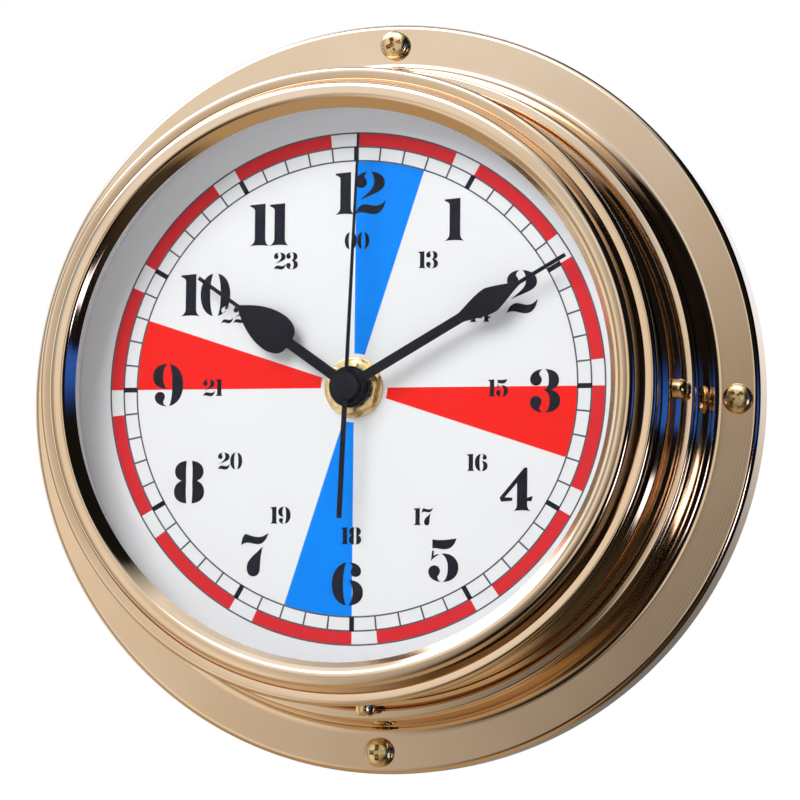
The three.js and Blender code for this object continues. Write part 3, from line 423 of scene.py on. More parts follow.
def flat_shape(outlines, back, front, soften=0.0):
    """A closed flat shape between two depths, from outlines of x and y. One inside another is a hole."""
    curve = bpy.data.curves.new("outline", "CURVE")
    curve.dimensions = "2D"
    curve.fill_mode = "BOTH"
    for points in outlines:
        spline = curve.splines.new("POLY")
        spline.points.add(len(points) - 1)
        for point, (x, y) in zip(spline.points, points):
            point.co = (x, y, 0, 1)
        spline.use_cyclic_u = True
    curve.extrude = (front - back) / 2 - soften
    curve.bevel_depth = soften
    curve.offset = -soften
    curve.bevel_resolution = 1
    mesh = evaluated_mesh(holder_of(curve))
    middle = Matrix.Translation((0, -(back + front) / 2, 0))
    mesh.transform(middle @ Matrix.Rotation(math.radians(90), 4, "X"))
    return outward(mesh)


def cross_screw(finish, head, height, shank, length):
    """A screw with its head towards -Y and the underside of the head at depth zero."""
    corners = [(0, -length), (shank * POINT_SHARE, -length)]
    depth = -length + THREAD_PITCH
    while depth < -THREAD_PITCH:
        corners.append((shank, depth))
        corners.append((shank - THREAD_DEPTH, depth + THREAD_PITCH / 2))
        depth += THREAD_PITCH
    crown = (head, height, height * CROWN_DROP, head * CROWN_REACH)
    corners += [(shank, 0), (head, 0, UNDERHEAD_ROUND), crown, (0, height)]
    blank = turned(softened(corners), finish, SCREW_SIDES)
    half = CROSS_WIDTH / 2
    reach = head * math.sqrt(0.5)
    corner = half * CROSS_CORNER
    arm = [(half, reach), (half, corner), (corner, half), (reach, half)]
    cross = []
    for turn in range(4):
        quarter = Matrix.Rotation(-turn * QUARTER_TURN, 2)
        cross += [tuple(quarter @ Vector(point)) for point in arm]
    recess = flat_shape([cross], height - CROSS_DEPTH, height + CROSS_DEPTH)
    for vertex in recess.vertices:
        if vertex.co.y > -height:
            vertex.co.x *= CROSS_TAPER
            vertex.co.z *= CROSS_TAPER
    return carved(blank, recess)


screw_brass = grained(
    "screw_brass",
    ((0.82, 0.61, 0.31), (0.62, 0.42, 0.19)),
    tone=(260.0, 2.0),
    span=(0.4, 0.75),
    gloss=(900.0, 3.0),
    rough=(0.16, 0.34),
    bump=(0.00001,),
    metal=1.0,
)
flange_screw = cross_screw(screw_brass, FLANGE_HEAD, FLANGE_HEAD_HEIGHT, FLANGE_SHANK, FLANGE_SCREW_LENGTH)


def screw_set(kind, screw, radius, depth, seed, **turning):
    """Four screws round the case, each with its cross turned another way."""
    screws = set_round(screw, 4, screw_brass, radius, depth, spin=QUARTER_TURN, seed=seed, **turning)
    nodes = [f"{kind}_screw_{i}" for i in range(1, 5)]
    piece(f"{kind}_screws", screws, "case", screw_brass, nodes)


screw_set(
    "flange",
    flange_screw,
    FLANGE_SCREW_CIRCLE,
    FLANGE_SCREW_SEAT,
    FLANGE_SEED,
    start=FLANGE_SCREW_TURN,
)

# Movement housing
# The quartz movement is a black moulded box with a lid, an open bay for one cell and a white setting knob.
# The mouldings have small rounded edges and the fine pitted skin of a spark-cut mould.
HOUSING_ROUND = 0.5
LID_ROUND = 0.25
KNOB_ROUND = 0.2
FLAT_ANGLE = math.radians(2)
EDGE_ANGLE = math.radians(40)


def rounded_copy(node, width):
    """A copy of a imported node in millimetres, merged to one skin, with its hard edges rounded."""
    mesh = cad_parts[node].data.copy()
    mesh.transform(Matrix.Scale(1 / MM, 4))
    outward(mesh)
    shape = bmesh.new()
    shape.from_mesh(mesh)
    bmesh.ops.dissolve_limit(shape, angle_limit=FLAT_ANGLE, verts=shape.verts, edges=shape.edges)
    shape.to_mesh(mesh)
    shape.free()
    holder = holder_of(mesh)
    edges = holder.modifiers.new("edges", "BEVEL")
    edges.width = width
    edges.segments = 2
    edges.limit_method = "ANGLE"
    edges.angle_limit = EDGE_ANGLE
    return evaluated_mesh(holder)


def moulded_plastic(name, colour, worn, rough):
    """Moulded plastic with pitted skin and slightly uneven gloss."""
    uneven = (rough - 0.08, rough + 0.08)
    return grained(name, (colour, worn), (70.0, 3.0), uneven, (0.00002, 0.6), skin=(3200.0, 3.0))


black_plastic = moulded_plastic("black_plastic", (0.012, 0.012, 0.013), (0.02, 0.02, 0.021), 0.5)
white_plastic = moulded_plastic("white_plastic", (0.80, 0.79, 0.75), (0.72, 0.71, 0.66), 0.42)
housing = rounded_copy("movement_case", HOUSING_ROUND)
piece("movement_housing", housing, "case", black_plastic, ["movement_case"])
lid = rounded_copy("movement_cover", LID_ROUND)
piece("movement_lid", lid, "case", black_plastic, ["movement_cover"])
knob = rounded_copy("setting_knob", KNOB_ROUND)
piece("hand_setting_knob", knob, "minute_works", white_plastic, ["setting_knob"])

# Wheels inside the movement
# The wheels and their pinions are moulded in white acetal, and the rotor carries a small sintered magnet.
# They are sealed in the housing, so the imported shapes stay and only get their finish.


def dress(finish, *nodes):
    """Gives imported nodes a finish."""
    for node in nodes:
        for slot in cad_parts[node].material_slots:
            slot.material = finish


dress(white_plastic, "second_wheel", "third_wheel", "centre_wheel")
dress(white_plastic, "minute_wheel", "hour_wheel", "intermediate_wheel")


def speckled_metal(name, light, dark, scale, rough):
    """Bare metal with a fine speckle."""
    return grained(name, (light, dark), (scale, 4.0), (rough, rough + 0.15), (0.00001, 0.5), metal=1.0)


magnet_grey = speckled_metal("magnet_grey", (0.16, 0.16, 0.17), (0.08, 0.08, 0.09), 2200.0, 0.45)
dress(magnet_grey, "rotor")

# Motor and circuit
# Stator and coil core are stamped from bright sheet steel, and copper wire is wound on a black bobbin.
# A green board carries the crystal in its silver can and the timing chip under a black drop of resin.
WIRE_PITCH = 0.35


def rolled_steel(name):
    """Sheet steel with fine rolling lines along X."""
    material, tree, place = new_finish(name)
    stretched = made(tree, "ShaderNodeMapping", {"Vector": place, "Scale": (0.05, 1.0, 1.0)})
    lines = noise(tree, stretched, 4200.0, 3.0)
    look = {
        "Base Color": mixed_colour(tree, lines, (0.62, 0.62, 0.63), (0.5, 0.5, 0.52)),
        "Roughness": spread(tree, lines, 0.2, 0.36),
        "Normal": bumped(tree, lines, 0.000006, 0.5),
        "Metallic": 1.0,
    }
    return finished(material, look)


def wound_copper(name):
    """Enamelled copper wire, laid turn on turn up the coil, with painted shade in the grooves between turns
    and a painted highlight on each crest.
    """
    material, tree, place = new_finish(name)
    axes = add_node(tree, "ShaderNodeSeparateXYZ", {0: place}).outputs
    turns = worked(tree, "SINE", worked(tree, "MULTIPLY", axes["Z"], 2 * math.pi / (WIRE_PITCH * MM)))
    share = ranged(tree, turns, 0.0, 1.0, -1.0, 1.0)
    look = {
        # Painted shade and highlight: the colour goes dark in the grooves between turns and light on the
        # crests, in step with the bump.
        "Base Color": mixed_colour(tree, share, (0.35, 0.12, 0.05), (0.72, 0.31, 0.15)),
        "Normal": bumped(tree, share, 0.00012, 0.8),
        "Metallic": 1.0,
        "Roughness": 0.3,
    }
    return finished(material, look)


def masked_board(name):
    """Green solder mask with slightly darker tracks under it."""
    material, tree, place = new_finish(name)
    fine = {"Vector": place, "Scale": 520.0}
    tracks = add_node(tree, "ShaderNodeTexVoronoi", fine, feature="DISTANCE_TO_EDGE").outputs["Distance"]
    share = ranged(tree, tracks, 0.0, 1.0, 0.04, 0.08)
    look = {
        "Base Color": mixed_colour(tree, share, (0.02, 0.16, 0.06), (0.01, 0.09, 0.035)),
        "Normal": bumped(tree, share, 0.00003, 0.5),
        "Roughness": 0.3,
    }
    return finished(material, look)


bright_steel = rolled_steel("bright_steel")
dress(bright_steel, "stator", "coil_core")
dress(black_plastic, "coil_bobbin", "timing_chip")
dress(wound_copper("copper_wire"), "coil_winding")
dress(masked_board("board_green"), "circuit_board")
silver_can = speckled_metal("silver_can", (0.75, 0.75, 0.76), (0.64, 0.64, 0.66), 1500.0, 0.2)
dress(silver_can, "quartz_crystal")

# Cell and its contacts
# One plain AA cell lies in the bay: a steel can in a printed sleeve, with bare metal at both ends.
# Two stamped steel leaves press on its ends.
CELL_RADIUS = 7.25
CELL_HALF = 25.25
CELL_NUB = 2.75
CELL_NUB_LENGTH = 1.0
CELL_DEPTH = 29.4
CELL_HEIGHT = -18.85
SLEEVE_END = 23.2
BAND_INNER = 10.5
BAND_OUTER = 14.5
CELL_ROUND = 0.6
NUB_FOOT_ROUND = 0.15
NUB_ROUND = 0.3
SMALL_SIDES = 96


def sleeved_cell(name):
    """A slate-blue sleeve with one pale band, and steel showing past the sleeve's ends."""
    material, tree, place = new_finish(name)
    along = add_node(tree, "ShaderNodeSeparateXYZ", {0: place}).outputs["X"]
    bare = worked(tree, "GREATER_THAN", worked(tree, "ABSOLUTE", along), SLEEVE_END * MM)
    past = worked(tree, "GREATER_THAN", along, BAND_INNER * MM)
    short = worked(tree, "LESS_THAN", along, BAND_OUTER * MM)
    scuffs = noise(tree, place, 400.0, 3.0)
    scuffed = ranged(tree, scuffs, 0.0, 1.0, 0.4, 0.8)
    sleeve = mixed_colour(tree, scuffed, (0.035, 0.055, 0.085), (0.05, 0.07, 0.1))
    banded = mixed_colour(tree, worked(tree, "MULTIPLY", past, short), sleeve, (0.55, 0.55, 0.53))
    look = {
        "Base Color": mixed_colour(tree, bare, banded, (0.66, 0.66, 0.67)),
        "Metallic": bare,
        "Roughness": spread(tree, scuffs, 0.2, 0.34),
    }
    return finished(material, look)


cell_corners = [
    (0, -CELL_HALF),
    (CELL_RADIUS, -CELL_HALF, CELL_ROUND),
    (CELL_RADIUS, CELL_HALF - CELL_NUB_LENGTH, CELL_ROUND),
    (CELL_NUB, CELL_HALF - CELL_NUB_LENGTH, NUB_FOOT_ROUND),
    (CELL_NUB, CELL_HALF, NUB_ROUND),
    (0, CELL_HALF),
]
battery_sleeve = sleeved_cell("battery_sleeve")
cell = turned(softened(cell_corners), battery_sleeve, SMALL_SIDES)
cell.transform(Matrix.Rotation(math.radians(90), 4, "Z"))
cell.transform(Matrix.Translation((0, -CELL_DEPTH, CELL_HEIGHT)))
piece("aa_cell", cell, "case", battery_sleeve, ["battery_cell"])
dress(bright_steel, "contact_positive", "contact_negative")

# Rubber washer
# A soft black washer between the housing and the back of the dial takes up the nut's clamping.
# It is punched from matt sheet rubber with a faint bloom, and slips over the bushing.
black_rubber = grained(
    "black_rubber",
    ((0.012, 0.012, 0.012), (0.03, 0.03, 0.03)),
    tone=(500.0, 4.0),
    rough=(0.65, 0.85),
    bump=(0.00003, 0.5),
)
dress(black_rubber, "rubber_washer")

# Dial plate
# A flat metal disc, sprayed with white enamel and baked, clamped between the spigot and the reflector ring.
# The enamel is smooth with only the faintest orange peel.
DIAL_FRONT = 39.6

white_enamel = grained(
    "white_enamel",
    ((0.83, 0.835, 0.85), (0.80, 0.805, 0.82)),
    tone=(30.0, 2.0),
    gloss=(700.0, 2.0),
    rough=(0.35, 0.45),
    bump=(0.000006, 0.4),
    shine=0.3,
)
dress(white_enamel, "dial_plate")

# Printed colours
# Red and blue silence sectors and the broken red hour ring are screen printed on the enamel in thick ink.
# Each colour is its own pass through the screen, so each is its own thin layer.
INK = 0.02
SECTOR_INNER = 8.0
SECTOR_OUTER = 52.9
SECTOR_SWEEP = 18
RED_INNER = 56.4
RED_OUTER = 59.4
RED_SWEEP = 24
ARC_STEP = 1.0


def on_dial(radius, angle):
    """A point by radius and by degrees clockwise from twelve."""
    turn = math.radians(angle)
    return (radius * math.sin(turn), radius * math.cos(turn))


def arc_band(inner, outer, start, end):
    """The outline of a band between two radii, from start to end in degrees clockwise from twelve."""
    steps = max(1, round((end - start) / ARC_STEP))
    angles = [start + (end - start) * i / steps for i in range(steps + 1)]
    return [on_dial(outer, angle) for angle in angles] + [on_dial(inner, angle) for angle in reversed(angles)]


def printed_ink(name, colour, thin, rough=0.42):
    """Screen ink with slightly uneven cover."""
    uneven = (rough - 0.06, rough + 0.06)
    return grained(name, (colour, thin), (420.0, 4.0), uneven, span=(0.45, 0.8), shine=0.08)


def joined(*meshes):
    """Several meshes as one."""
    shape = bmesh.new()
    for mesh in meshes:
        shape.from_mesh(mesh)
    result = bpy.data.meshes.new("joined")
    shape.to_mesh(result)
    shape.free()
    return result


red_ink = printed_ink("red_ink", (0.90, 0.018, 0.013), (0.84, 0.022, 0.020))
ring_ink = printed_ink("ring_ink", (0.70, 0.027, 0.034), (0.65, 0.032, 0.040))
blue_ink = printed_ink("blue_ink", (0.002, 0.240, 0.91), (0.003, 0.215, 0.83))
ink_top = DIAL_FRONT + INK


def printed_bands(name, count, ink, inner, outer, start, sweep):
    """A number of equal bands, printed evenly round the dial."""
    band = flat_shape([arc_band(inner, outer, start, start + sweep)], DIAL_FRONT, ink_top)
    piece(name, set_round(band, count, ink), "case", ink)


printed_bands("print_blue_sectors", 2, blue_ink, SECTOR_INNER, SECTOR_OUTER, 0, SECTOR_SWEEP)
printed_bands("print_red_sectors", 2, red_ink, SECTOR_INNER, SECTOR_OUTER, 90, SECTOR_SWEEP)
printed_bands("print_red_ring", 12, ring_ink, RED_INNER, RED_OUTER, 0, RED_SWEEP)

# Minute track
# Thin grey circles and minute lines, with heavier black lines at the hours, printed over the colours.
# The grey is one pass through the screen and the black another, each a thin layer of ink.
TRACK_INNER = 53.0
TRACK_MIDDLE = 56.25
TRACK_OUTER = 59.5
TRACK_LINE = 0.36
MINUTE_LINE = 0.4
HOUR_LINE = 1.15
HOUR_LINE_OVERLAP = 0.1
CIRCLE_STEP = 2
GREY_TOP = ink_top + INK
BLACK_TOP = GREY_TOP + INK


def ring_line(radius):
    """A thin printed circle."""
    half = TRACK_LINE / 2
    turns = range(0, 360, CIRCLE_STEP)
    return [[on_dial(radius + half, a) for a in turns], [on_dial(radius - half, a) for a in turns]]


def straight_line(width, inner, outer):
    """A printed line at twelve, from an inner to an outer radius."""
    half = width / 2
    return [[(-half, inner), (half, inner), (half, outer), (-half, outer)]]


grey_ink = printed_ink("grey_ink", (0.085, 0.095, 0.115), (0.12, 0.13, 0.15))
black_ink = printed_ink("black_ink", (0.012, 0.012, 0.02), (0.022, 0.022, 0.03), 0.38)
track_radii = (TRACK_INNER, TRACK_MIDDLE, TRACK_OUTER)
circles = [flat_shape(ring_line(radius), DIAL_FRONT, GREY_TOP) for radius in track_radii]
minute_mark = flat_shape(straight_line(MINUTE_LINE, TRACK_INNER, TRACK_MIDDLE), DIAL_FRONT, GREY_TOP)
minute_marks = set_round(minute_mark, 60, grey_ink)
piece("print_minute_track", joined(*circles, minute_marks), "case", grey_ink)
hour_line = straight_line(HOUR_LINE, TRACK_INNER - HOUR_LINE_OVERLAP, TRACK_MIDDLE + HOUR_LINE_OVERLAP)
hour_mark = flat_shape(hour_line, DIAL_FRONT, BLACK_TOP)
piece("print_hour_marks", set_round(hour_mark, 12, black_ink), "case", black_ink)

# Numerals
# Heavy stencil figures with broken hairlines: hours from 1 to 12, and smaller figures for the afternoon.
# Each outline is a start point, then straight or curved steps, drawn ten units high and printed in black.
FIGURE_HEIGHT = 10.0
FIGURE_GAP = 0.2
SMALL_SCALE = 0.4
HOUR_RADIUS = 45.4
HOUR_TURN = 1.4
TWO_FIGURE_TUCK = 3.2
SMALL_RADIUS = 34.3
SMALL_TURN = 0.6
CURVE_STEPS = 8

ONE = [
    (0.0, 9.7), (3.7, 10.0), (3.7, 1.7), (3.7, 0.9, 4.1, 0.4, 4.6, 0.0), (3.4, 0.3, 1.2, 0.3, 0.0, 0.0),
    (0.6, 0.4, 1.15, 0.9, 1.15, 1.7), (1.15, 8.5), (1.0, 8.9, 0.5, 9.2, 0.0, 9.3),
]
ZERO_LEFT = [
    (3.05, 10.0), (1.0, 9.6, 0.0, 7.4, 0.0, 5.0), (0.0, 2.6, 1.0, 0.4, 3.05, 0.0),
    (2.55, 1.2, 2.35, 3.0, 2.35, 5.0), (2.35, 7.0, 2.55, 8.8, 3.05, 10.0),
]
TOP_HOOK = [
    (2.95, 10.0), (1.2, 9.9, 0.0, 8.9, 0.0, 7.6), (0.0, 6.8, 0.6, 6.2, 1.4, 6.2),
    (2.2, 6.2, 2.75, 6.8, 2.75, 7.5), (2.75, 8.2, 2.25, 8.5, 2.15, 8.8),
    (2.15, 9.3, 2.5, 9.7, 2.95, 10.0),
]
TWO_BOWL = [
    (3.6, 10.0), (5.7, 9.9, 7.1, 8.9, 7.1, 7.3), (7.1, 5.4, 4.6, 4.9, 0.9, 3.3),
    (3.3, 5.2, 4.5, 6.0, 4.5, 7.6), (4.5, 8.7, 4.2, 9.5, 3.6, 10.0),
]
TWO_FOOT = [
    (0.0, 0.1), (0.4, 1.6, 1.4, 2.5, 2.6, 2.4), (4.0, 2.2, 5.6, 1.2, 7.3, 3.3),
    (7.0, 1.2, 6.0, 0.0, 4.4, 0.0), (2.8, 0.0, 1.6, 1.1, 0.0, 0.1),
]
THREE_BOWLS = [
    (3.5, 10.0), (5.6, 10.0, 6.8, 8.9, 6.8, 7.5), (6.8, 6.3, 6.1, 5.6, 5.0, 5.2),
    (6.4, 4.9, 7.1, 3.9, 7.1, 2.7), (7.1, 1.1, 5.7, 0.0, 3.5, 0.0), (4.3, 0.6, 4.6, 1.4, 4.6, 2.8),
    (4.6, 4.0, 4.2, 4.8, 3.2, 5.2), (4.1, 5.6, 4.4, 6.3, 4.4, 7.4), (4.4, 8.6, 4.2, 9.4, 3.5, 10.0),
]
FOUR = [
    (5.8, 10.0), (6.5, 10.0), (6.5, 3.1), (7.8, 3.5), (7.5, 2.3), (6.5, 2.3), (6.5, 1.5),
    (6.5, 0.8, 6.8, 0.4, 7.3, 0.0), (6.2, 0.3, 4.4, 0.3, 3.3, 0.0), (3.8, 0.4, 4.1, 0.8, 4.1, 1.5),
    (4.1, 6.5), (1.2, 3.2), (3.0, 3.1), (3.0, 2.4), (0.4, 2.2), (0.0, 3.1),
]
FIVE_FLAG = [
    (0.9, 9.8), (2.5, 9.4, 4.8, 9.7, 6.6, 10.0), (6.2, 8.4, 5.2, 7.5, 3.8, 7.5),
    (2.6, 7.5, 1.8, 7.9, 0.9, 7.7),
]
FIVE_STEM = [
    (0.85, 7.2), (1.3, 7.2), (1.2, 6.0), (1.6, 6.3, 2.0, 6.4, 2.6, 6.3), (1.7, 5.9, 1.0, 5.4, 0.6, 4.8),
]
FIVE_BOWL = [
    (3.0, 6.5), (5.3, 6.8, 7.1, 5.4, 7.1, 3.3), (7.1, 1.3, 5.5, 0.0, 3.4, 0.0),
    (4.2, 0.5, 4.6, 1.6, 4.6, 3.2), (4.6, 4.9, 4.0, 6.0, 3.0, 6.5),
]
SIX_BACK = [
    (3.45, 10.0), (1.2, 9.5, 0.0, 7.4, 0.0, 5.0), (0.0, 2.4, 1.2, 0.4, 3.45, 0.0),
    (2.85, 1.2, 2.7, 3.0, 2.7, 5.0), (2.7, 7.0, 2.85, 8.8, 3.45, 10.0),
]
SIX_HOOK = [
    (4.0, 10.0), (5.8, 10.0, 7.0, 9.0, 7.0, 7.9), (7.0, 7.1, 6.4, 6.6, 5.7, 6.6),
    (5.0, 6.6, 4.5, 7.1, 4.5, 7.7), (4.5, 8.3, 4.9, 8.6, 4.9, 9.0), (4.9, 9.5, 4.4, 9.8, 4.0, 10.0),
]
SIX_BOWL = [
    (4.0, 5.9), (6.2, 5.9, 7.5, 4.7, 7.5, 3.0), (7.5, 1.2, 6.1, 0.0, 4.0, 0.0),
    (4.7, 0.8, 5.0, 1.8, 5.0, 3.0), (5.0, 4.3, 4.7, 5.2, 4.0, 5.9),
]
SEVEN_FLAG = [
    (0.1, 7.2), (0.2, 8.6, 0.5, 9.6, 1.2, 9.9), (2.4, 9.5, 4.0, 8.9, 5.2, 9.3),
    (5.8, 9.5, 6.2, 9.9, 6.7, 10.0), (6.2, 8.4, 5.2, 7.4, 4.0, 7.5), (2.6, 7.6, 1.2, 8.4, 0.1, 7.2),
]
SEVEN_STEM = [
    (5.3, 7.0), (4.9, 5.0, 4.7, 3.4, 4.7, 1.9), (4.7, 0.7, 4.0, 0.0, 3.1, 0.0),
    (2.1, 0.0, 1.5, 0.8, 1.5, 2.0), (1.5, 4.2, 3.6, 5.0, 5.3, 7.0),
]
EIGHT_LEFT = [
    (3.05, 10.0), (1.3, 9.9, 0.2, 8.9, 0.2, 7.5), (0.2, 6.4, 0.8, 5.7, 1.8, 5.3),
    (0.6, 4.9, 0.0, 3.9, 0.0, 2.7), (0.0, 1.1, 1.2, 0.1, 3.05, 0.0), (2.85, 2.0, 2.85, 3.4, 2.95, 5.1),
    (2.85, 6.8, 2.85, 8.4, 3.05, 10.0),
]


def drawn(outline):
    """The points along an outline of straight and curved steps."""
    points = [Vector(outline[0])]
    for step in outline[1:]:
        start = points[-1]
        if len(step) == 2:
            points.append(Vector(step))
            continue
        first, second, end = (Vector(step[i : i + 2]) for i in (0, 2, 4))
        for i in range(1, CURVE_STEPS + 1):
            t = i / CURVE_STEPS
            s = 1 - t
            points.append(start * s**3 + first * 3 * s * s * t + second * 3 * s * t * t + end * t**3)
    if (points[-1] - points[0]).length < 1e-6:
        points.pop()
    return points


def mirrored(points, width):
    return [Vector((width - p.x, p.y)) for p in reversed(points)]


def upside_down(points):
    return [Vector((p.x, FIGURE_HEIGHT - p.y)) for p in reversed(points)]


def half_turned(points, width):
    return [Vector((width - p.x, FIGURE_HEIGHT - p.y)) for p in points]


six = [drawn(SIX_BACK), drawn(SIX_HOOK), drawn(SIX_BOWL)]
FIGURES = {
    "0": (7.3, [drawn(ZERO_LEFT), mirrored(drawn(ZERO_LEFT), 7.3)]),
    "1": (4.6, [drawn(ONE)]),
    "2": (7.3, [drawn(TOP_HOOK), drawn(TWO_BOWL), drawn(TWO_FOOT)]),
    "3": (7.1, [drawn(TOP_HOOK), drawn(THREE_BOWLS), upside_down(drawn(TOP_HOOK))]),
    "4": (7.8, [drawn(FOUR)]),
    "5": (7.1, [drawn(FIVE_FLAG), drawn(FIVE_STEM), drawn(FIVE_BOWL), upside_down(drawn(TOP_HOOK))]),
    "6": (7.5, six),
    "7": (6.7, [drawn(SEVEN_FLAG), drawn(SEVEN_STEM)]),
    "8": (7.4, [drawn(EIGHT_LEFT), mirrored(drawn(EIGHT_LEFT), 7.4)]),
    "9": (7.5, [half_turned(part, 7.5) for part in six]),
}


def number_on_dial(text, angle, scale, radius):
    """Outlines of an upright number whose middle is at a radius and an angle on the dial."""
    parts = []
    width = 0.0
    for figure in text:
        advance, outlines = FIGURES[figure]
        parts += [[p + Vector((width, 0)) for p in outline] for outline in outlines]
        width += advance + FIGURE_GAP
    half = Vector((width - FIGURE_GAP, FIGURE_HEIGHT)) * scale / 2
    middle = Vector(on_dial(radius, angle))
    return [[tuple(p * scale - half + middle) for p in part] for part in parts]


hour_outlines = []
for hour in range(1, 13):
    angle = 30 * hour
    afternoon = "00" if hour == 12 else str(hour + 12)
    tuck = TWO_FIGURE_TUCK * abs(math.sin(math.radians(angle))) if hour > 9 else 0
    hour_outlines += number_on_dial(str(hour), angle + HOUR_TURN, 1.0, HOUR_RADIUS - tuck)
    hour_outlines += number_on_dial(afternoon, angle + SMALL_TURN, SMALL_SCALE, SMALL_RADIUS)
piece("print_numerals", flat_shape(hour_outlines, DIAL_FRONT, BLACK_TOP), "case", black_ink)

# Nut, washer and bushing
# A thin brass washer and a hexagon nut on the movement's threaded bushing clamp the dial.
# All three are turned from brass rod, and the nut's corners are chamfered on both faces.
NUT_CORNER = 6.6
NUT_BACK = 40.2
NUT_FRONT = 42.2
NUT_BORE = 4.2
NUT_CHAMFER = 0.7
NUT_WASHER_OUTER = 7.0
NUT_WASHER_BACK = 39.7
NUT_WASHER_FRONT = 40.1
NUT_TURN = 12.0
BORE_STEP = 5
WASHER_BACK_ROUND = 0.1
WASHER_FRONT_ROUND = 0.15

bore = [on_dial(NUT_BORE, angle) for angle in range(0, 360, BORE_STEP)]
hexagon = [on_dial(NUT_CORNER, 60 * i + NUT_TURN) for i in range(6)]
nut_blank = flat_shape([hexagon, bore], NUT_BACK, NUT_FRONT)
nut_limit = turned(
    [
        (0, NUT_BACK),
        (NUT_CORNER - NUT_CHAMFER, NUT_BACK),
        (NUT_CORNER, NUT_BACK + NUT_CHAMFER / 2),
        (NUT_CORNER, NUT_FRONT - NUT_CHAMFER / 2),
        (NUT_CORNER - NUT_CHAMFER, NUT_FRONT),
        (0, NUT_FRONT),
    ],
    screw_brass,
    SMALL_SIDES,
)
nut = carved(nut_blank, nut_limit, "INTERSECT")
piece("hexagon_nut", nut, "case", screw_brass, ["centre_nut"])
washer_corners = [
    (NUT_BORE, NUT_WASHER_BACK),
    (NUT_WASHER_OUTER, NUT_WASHER_BACK, WASHER_BACK_ROUND),
    (NUT_WASHER_OUTER, NUT_WASHER_FRONT, WASHER_FRONT_ROUND),
    (NUT_BORE, NUT_WASHER_FRONT),
]
washer = turned(softened(washer_corners), screw_brass, SMALL_SIDES)
piece("brass_washer", washer, "case", screw_brass, ["nut_washer"])
dress(screw_brass, "centre_bushing")

# Hands
# Hour, minute and second hands are blanked from thin sheet, pressed on turned hubs and sprayed satin black.
# The hour and minute hands fit their pipes, and the closed hub of the second hand caps its arbor.
HAND_THICKNESS = 0.4
HAND_ROUND = 0.07
HUB_HEIGHT = 1.2
HUB_BACK_ROUND = 0.1
HUB_FRONT_ROUND = 0.25
HOUR_HUB_RADIUS = 4.8
HOUR_HUB_BORE = 2.05
HOUR_HUB_BACK = 43.0
HOUR_ANGLE = 305
MINUTE_HUB_RADIUS = 4.2
MINUTE_HUB_BORE = 1.25
MINUTE_HUB_BACK = 44.6
MINUTE_ANGLE = 60
SECOND_HUB_RADIUS = 3.2
SECOND_HUB_BORE = 0.55
SECOND_HUB_BACK = 46.2
SECOND_HUB_CAP = 0.25
SECOND_ANGLE = 2.4


def half_outline(side):
    """A whole blade from the right-hand side of its outline."""
    right = drawn(side)
    return [tuple(p) for p in right] + [(-p.x, p.y) for p in reversed(right)]


def hub(radius, bore_radius, back, blind=0.0):
    """A turned hub with a softened front edge and, where blind is set, a closed front."""
    front = back + HUB_HEIGHT
    corners = [(bore_radius, back), (radius, back, HUB_BACK_ROUND), (radius, front, HUB_FRONT_ROUND)]
    if blind:
        corners += [(0, front), (0, front - blind), (bore_radius, front - blind)]
    else:
        corners.append((bore_radius, front))
    return turned(softened(corners), hand_black, SMALL_SIDES)


def hand(body, sides, radius, bore_radius, back, angle, blind=0.0):
    """Joins blades to a hub, turns the hand clockwise from twelve and rides it on its body."""
    mesh = hub(radius, bore_radius, back, blind)
    blade_back = back + (HUB_HEIGHT - HAND_THICKNESS) / 2
    for side in sides:
        blade = flat_shape([half_outline(side)], blade_back, blade_back + HAND_THICKNESS, HAND_ROUND)
        mesh = carved(mesh, blade, "UNION")
    mesh.transform(Matrix.Rotation(math.radians(angle), 4, "Y"))
    piece(f"{body}_hand_blade", mesh, body, hand_black, [f"{body}_hand"])


hand_black = grained(
    "hand_black",
    ((0.006, 0.006, 0.009), (0.012, 0.012, 0.017)),
    tone=(120.0, 2.0),
    gloss=(2600.0, 3.0),
    rough=(0.34, 0.5),
    bump=(0.00001, 0.5),
    shine=0.1,
)
HOUR_SIDE = [
    (1.25, 3.6), (1.25, 17.8), (4.7, 17.8, 4.7, 22.4, 4.7, 22.4), (4.7, 27.7, 1.25, 31.75, 0.45, 33.0),
    (0.45, 45.0),
]
MINUTE_SIDE = [
    (1.15, 3.0), (1.15, 31.0), (2.2, 34.5, 3.0, 36.6, 3.0, 39.0), (2.4, 41.4, 1.0, 44.4, 0.45, 46.5),
    (0.45, 59.0),
]
SECOND_SIDE = [(0.45, 2.0), (0.25, 58.5)]
TAIL_SIDE = [(0.6, -30.5), (0.6, -2.0)]
hand("hour", [HOUR_SIDE], HOUR_HUB_RADIUS, HOUR_HUB_BORE, HOUR_HUB_BACK, HOUR_ANGLE)
hand("minute", [MINUTE_SIDE], MINUTE_HUB_RADIUS, MINUTE_HUB_BORE, MINUTE_HUB_BACK, MINUTE_ANGLE)
hand(
    "second",
    [SECOND_SIDE, TAIL_SIDE],
    SECOND_HUB_RADIUS,
    SECOND_HUB_BORE,
    SECOND_HUB_BACK,
    SECOND_ANGLE,
    SECOND_HUB_CAP,
)

# Reflector ring
# A white enamelled ring with a small foot stands on the dial and holds it off the glass.
# It is spun from thin sheet, and its wall leans inwards from the dial to the glass.
REFLECTOR_CORNERS = [
    (67.3, 39.7, 0.1),
    (69.3, 39.7, 0.1),
    (69.3, 41.2, 0.1),
    (68.3, 41.2),
    (66.9, 47.0),
    (66.9, 49.9, 0.1),
    (65.9, 49.9, 0.2),
]
reflector = turned(softened(REFLECTOR_CORNERS), white_enamel)
piece("reflector_sleeve", reflector, "case", white_enamel, ["reflector_ring"])

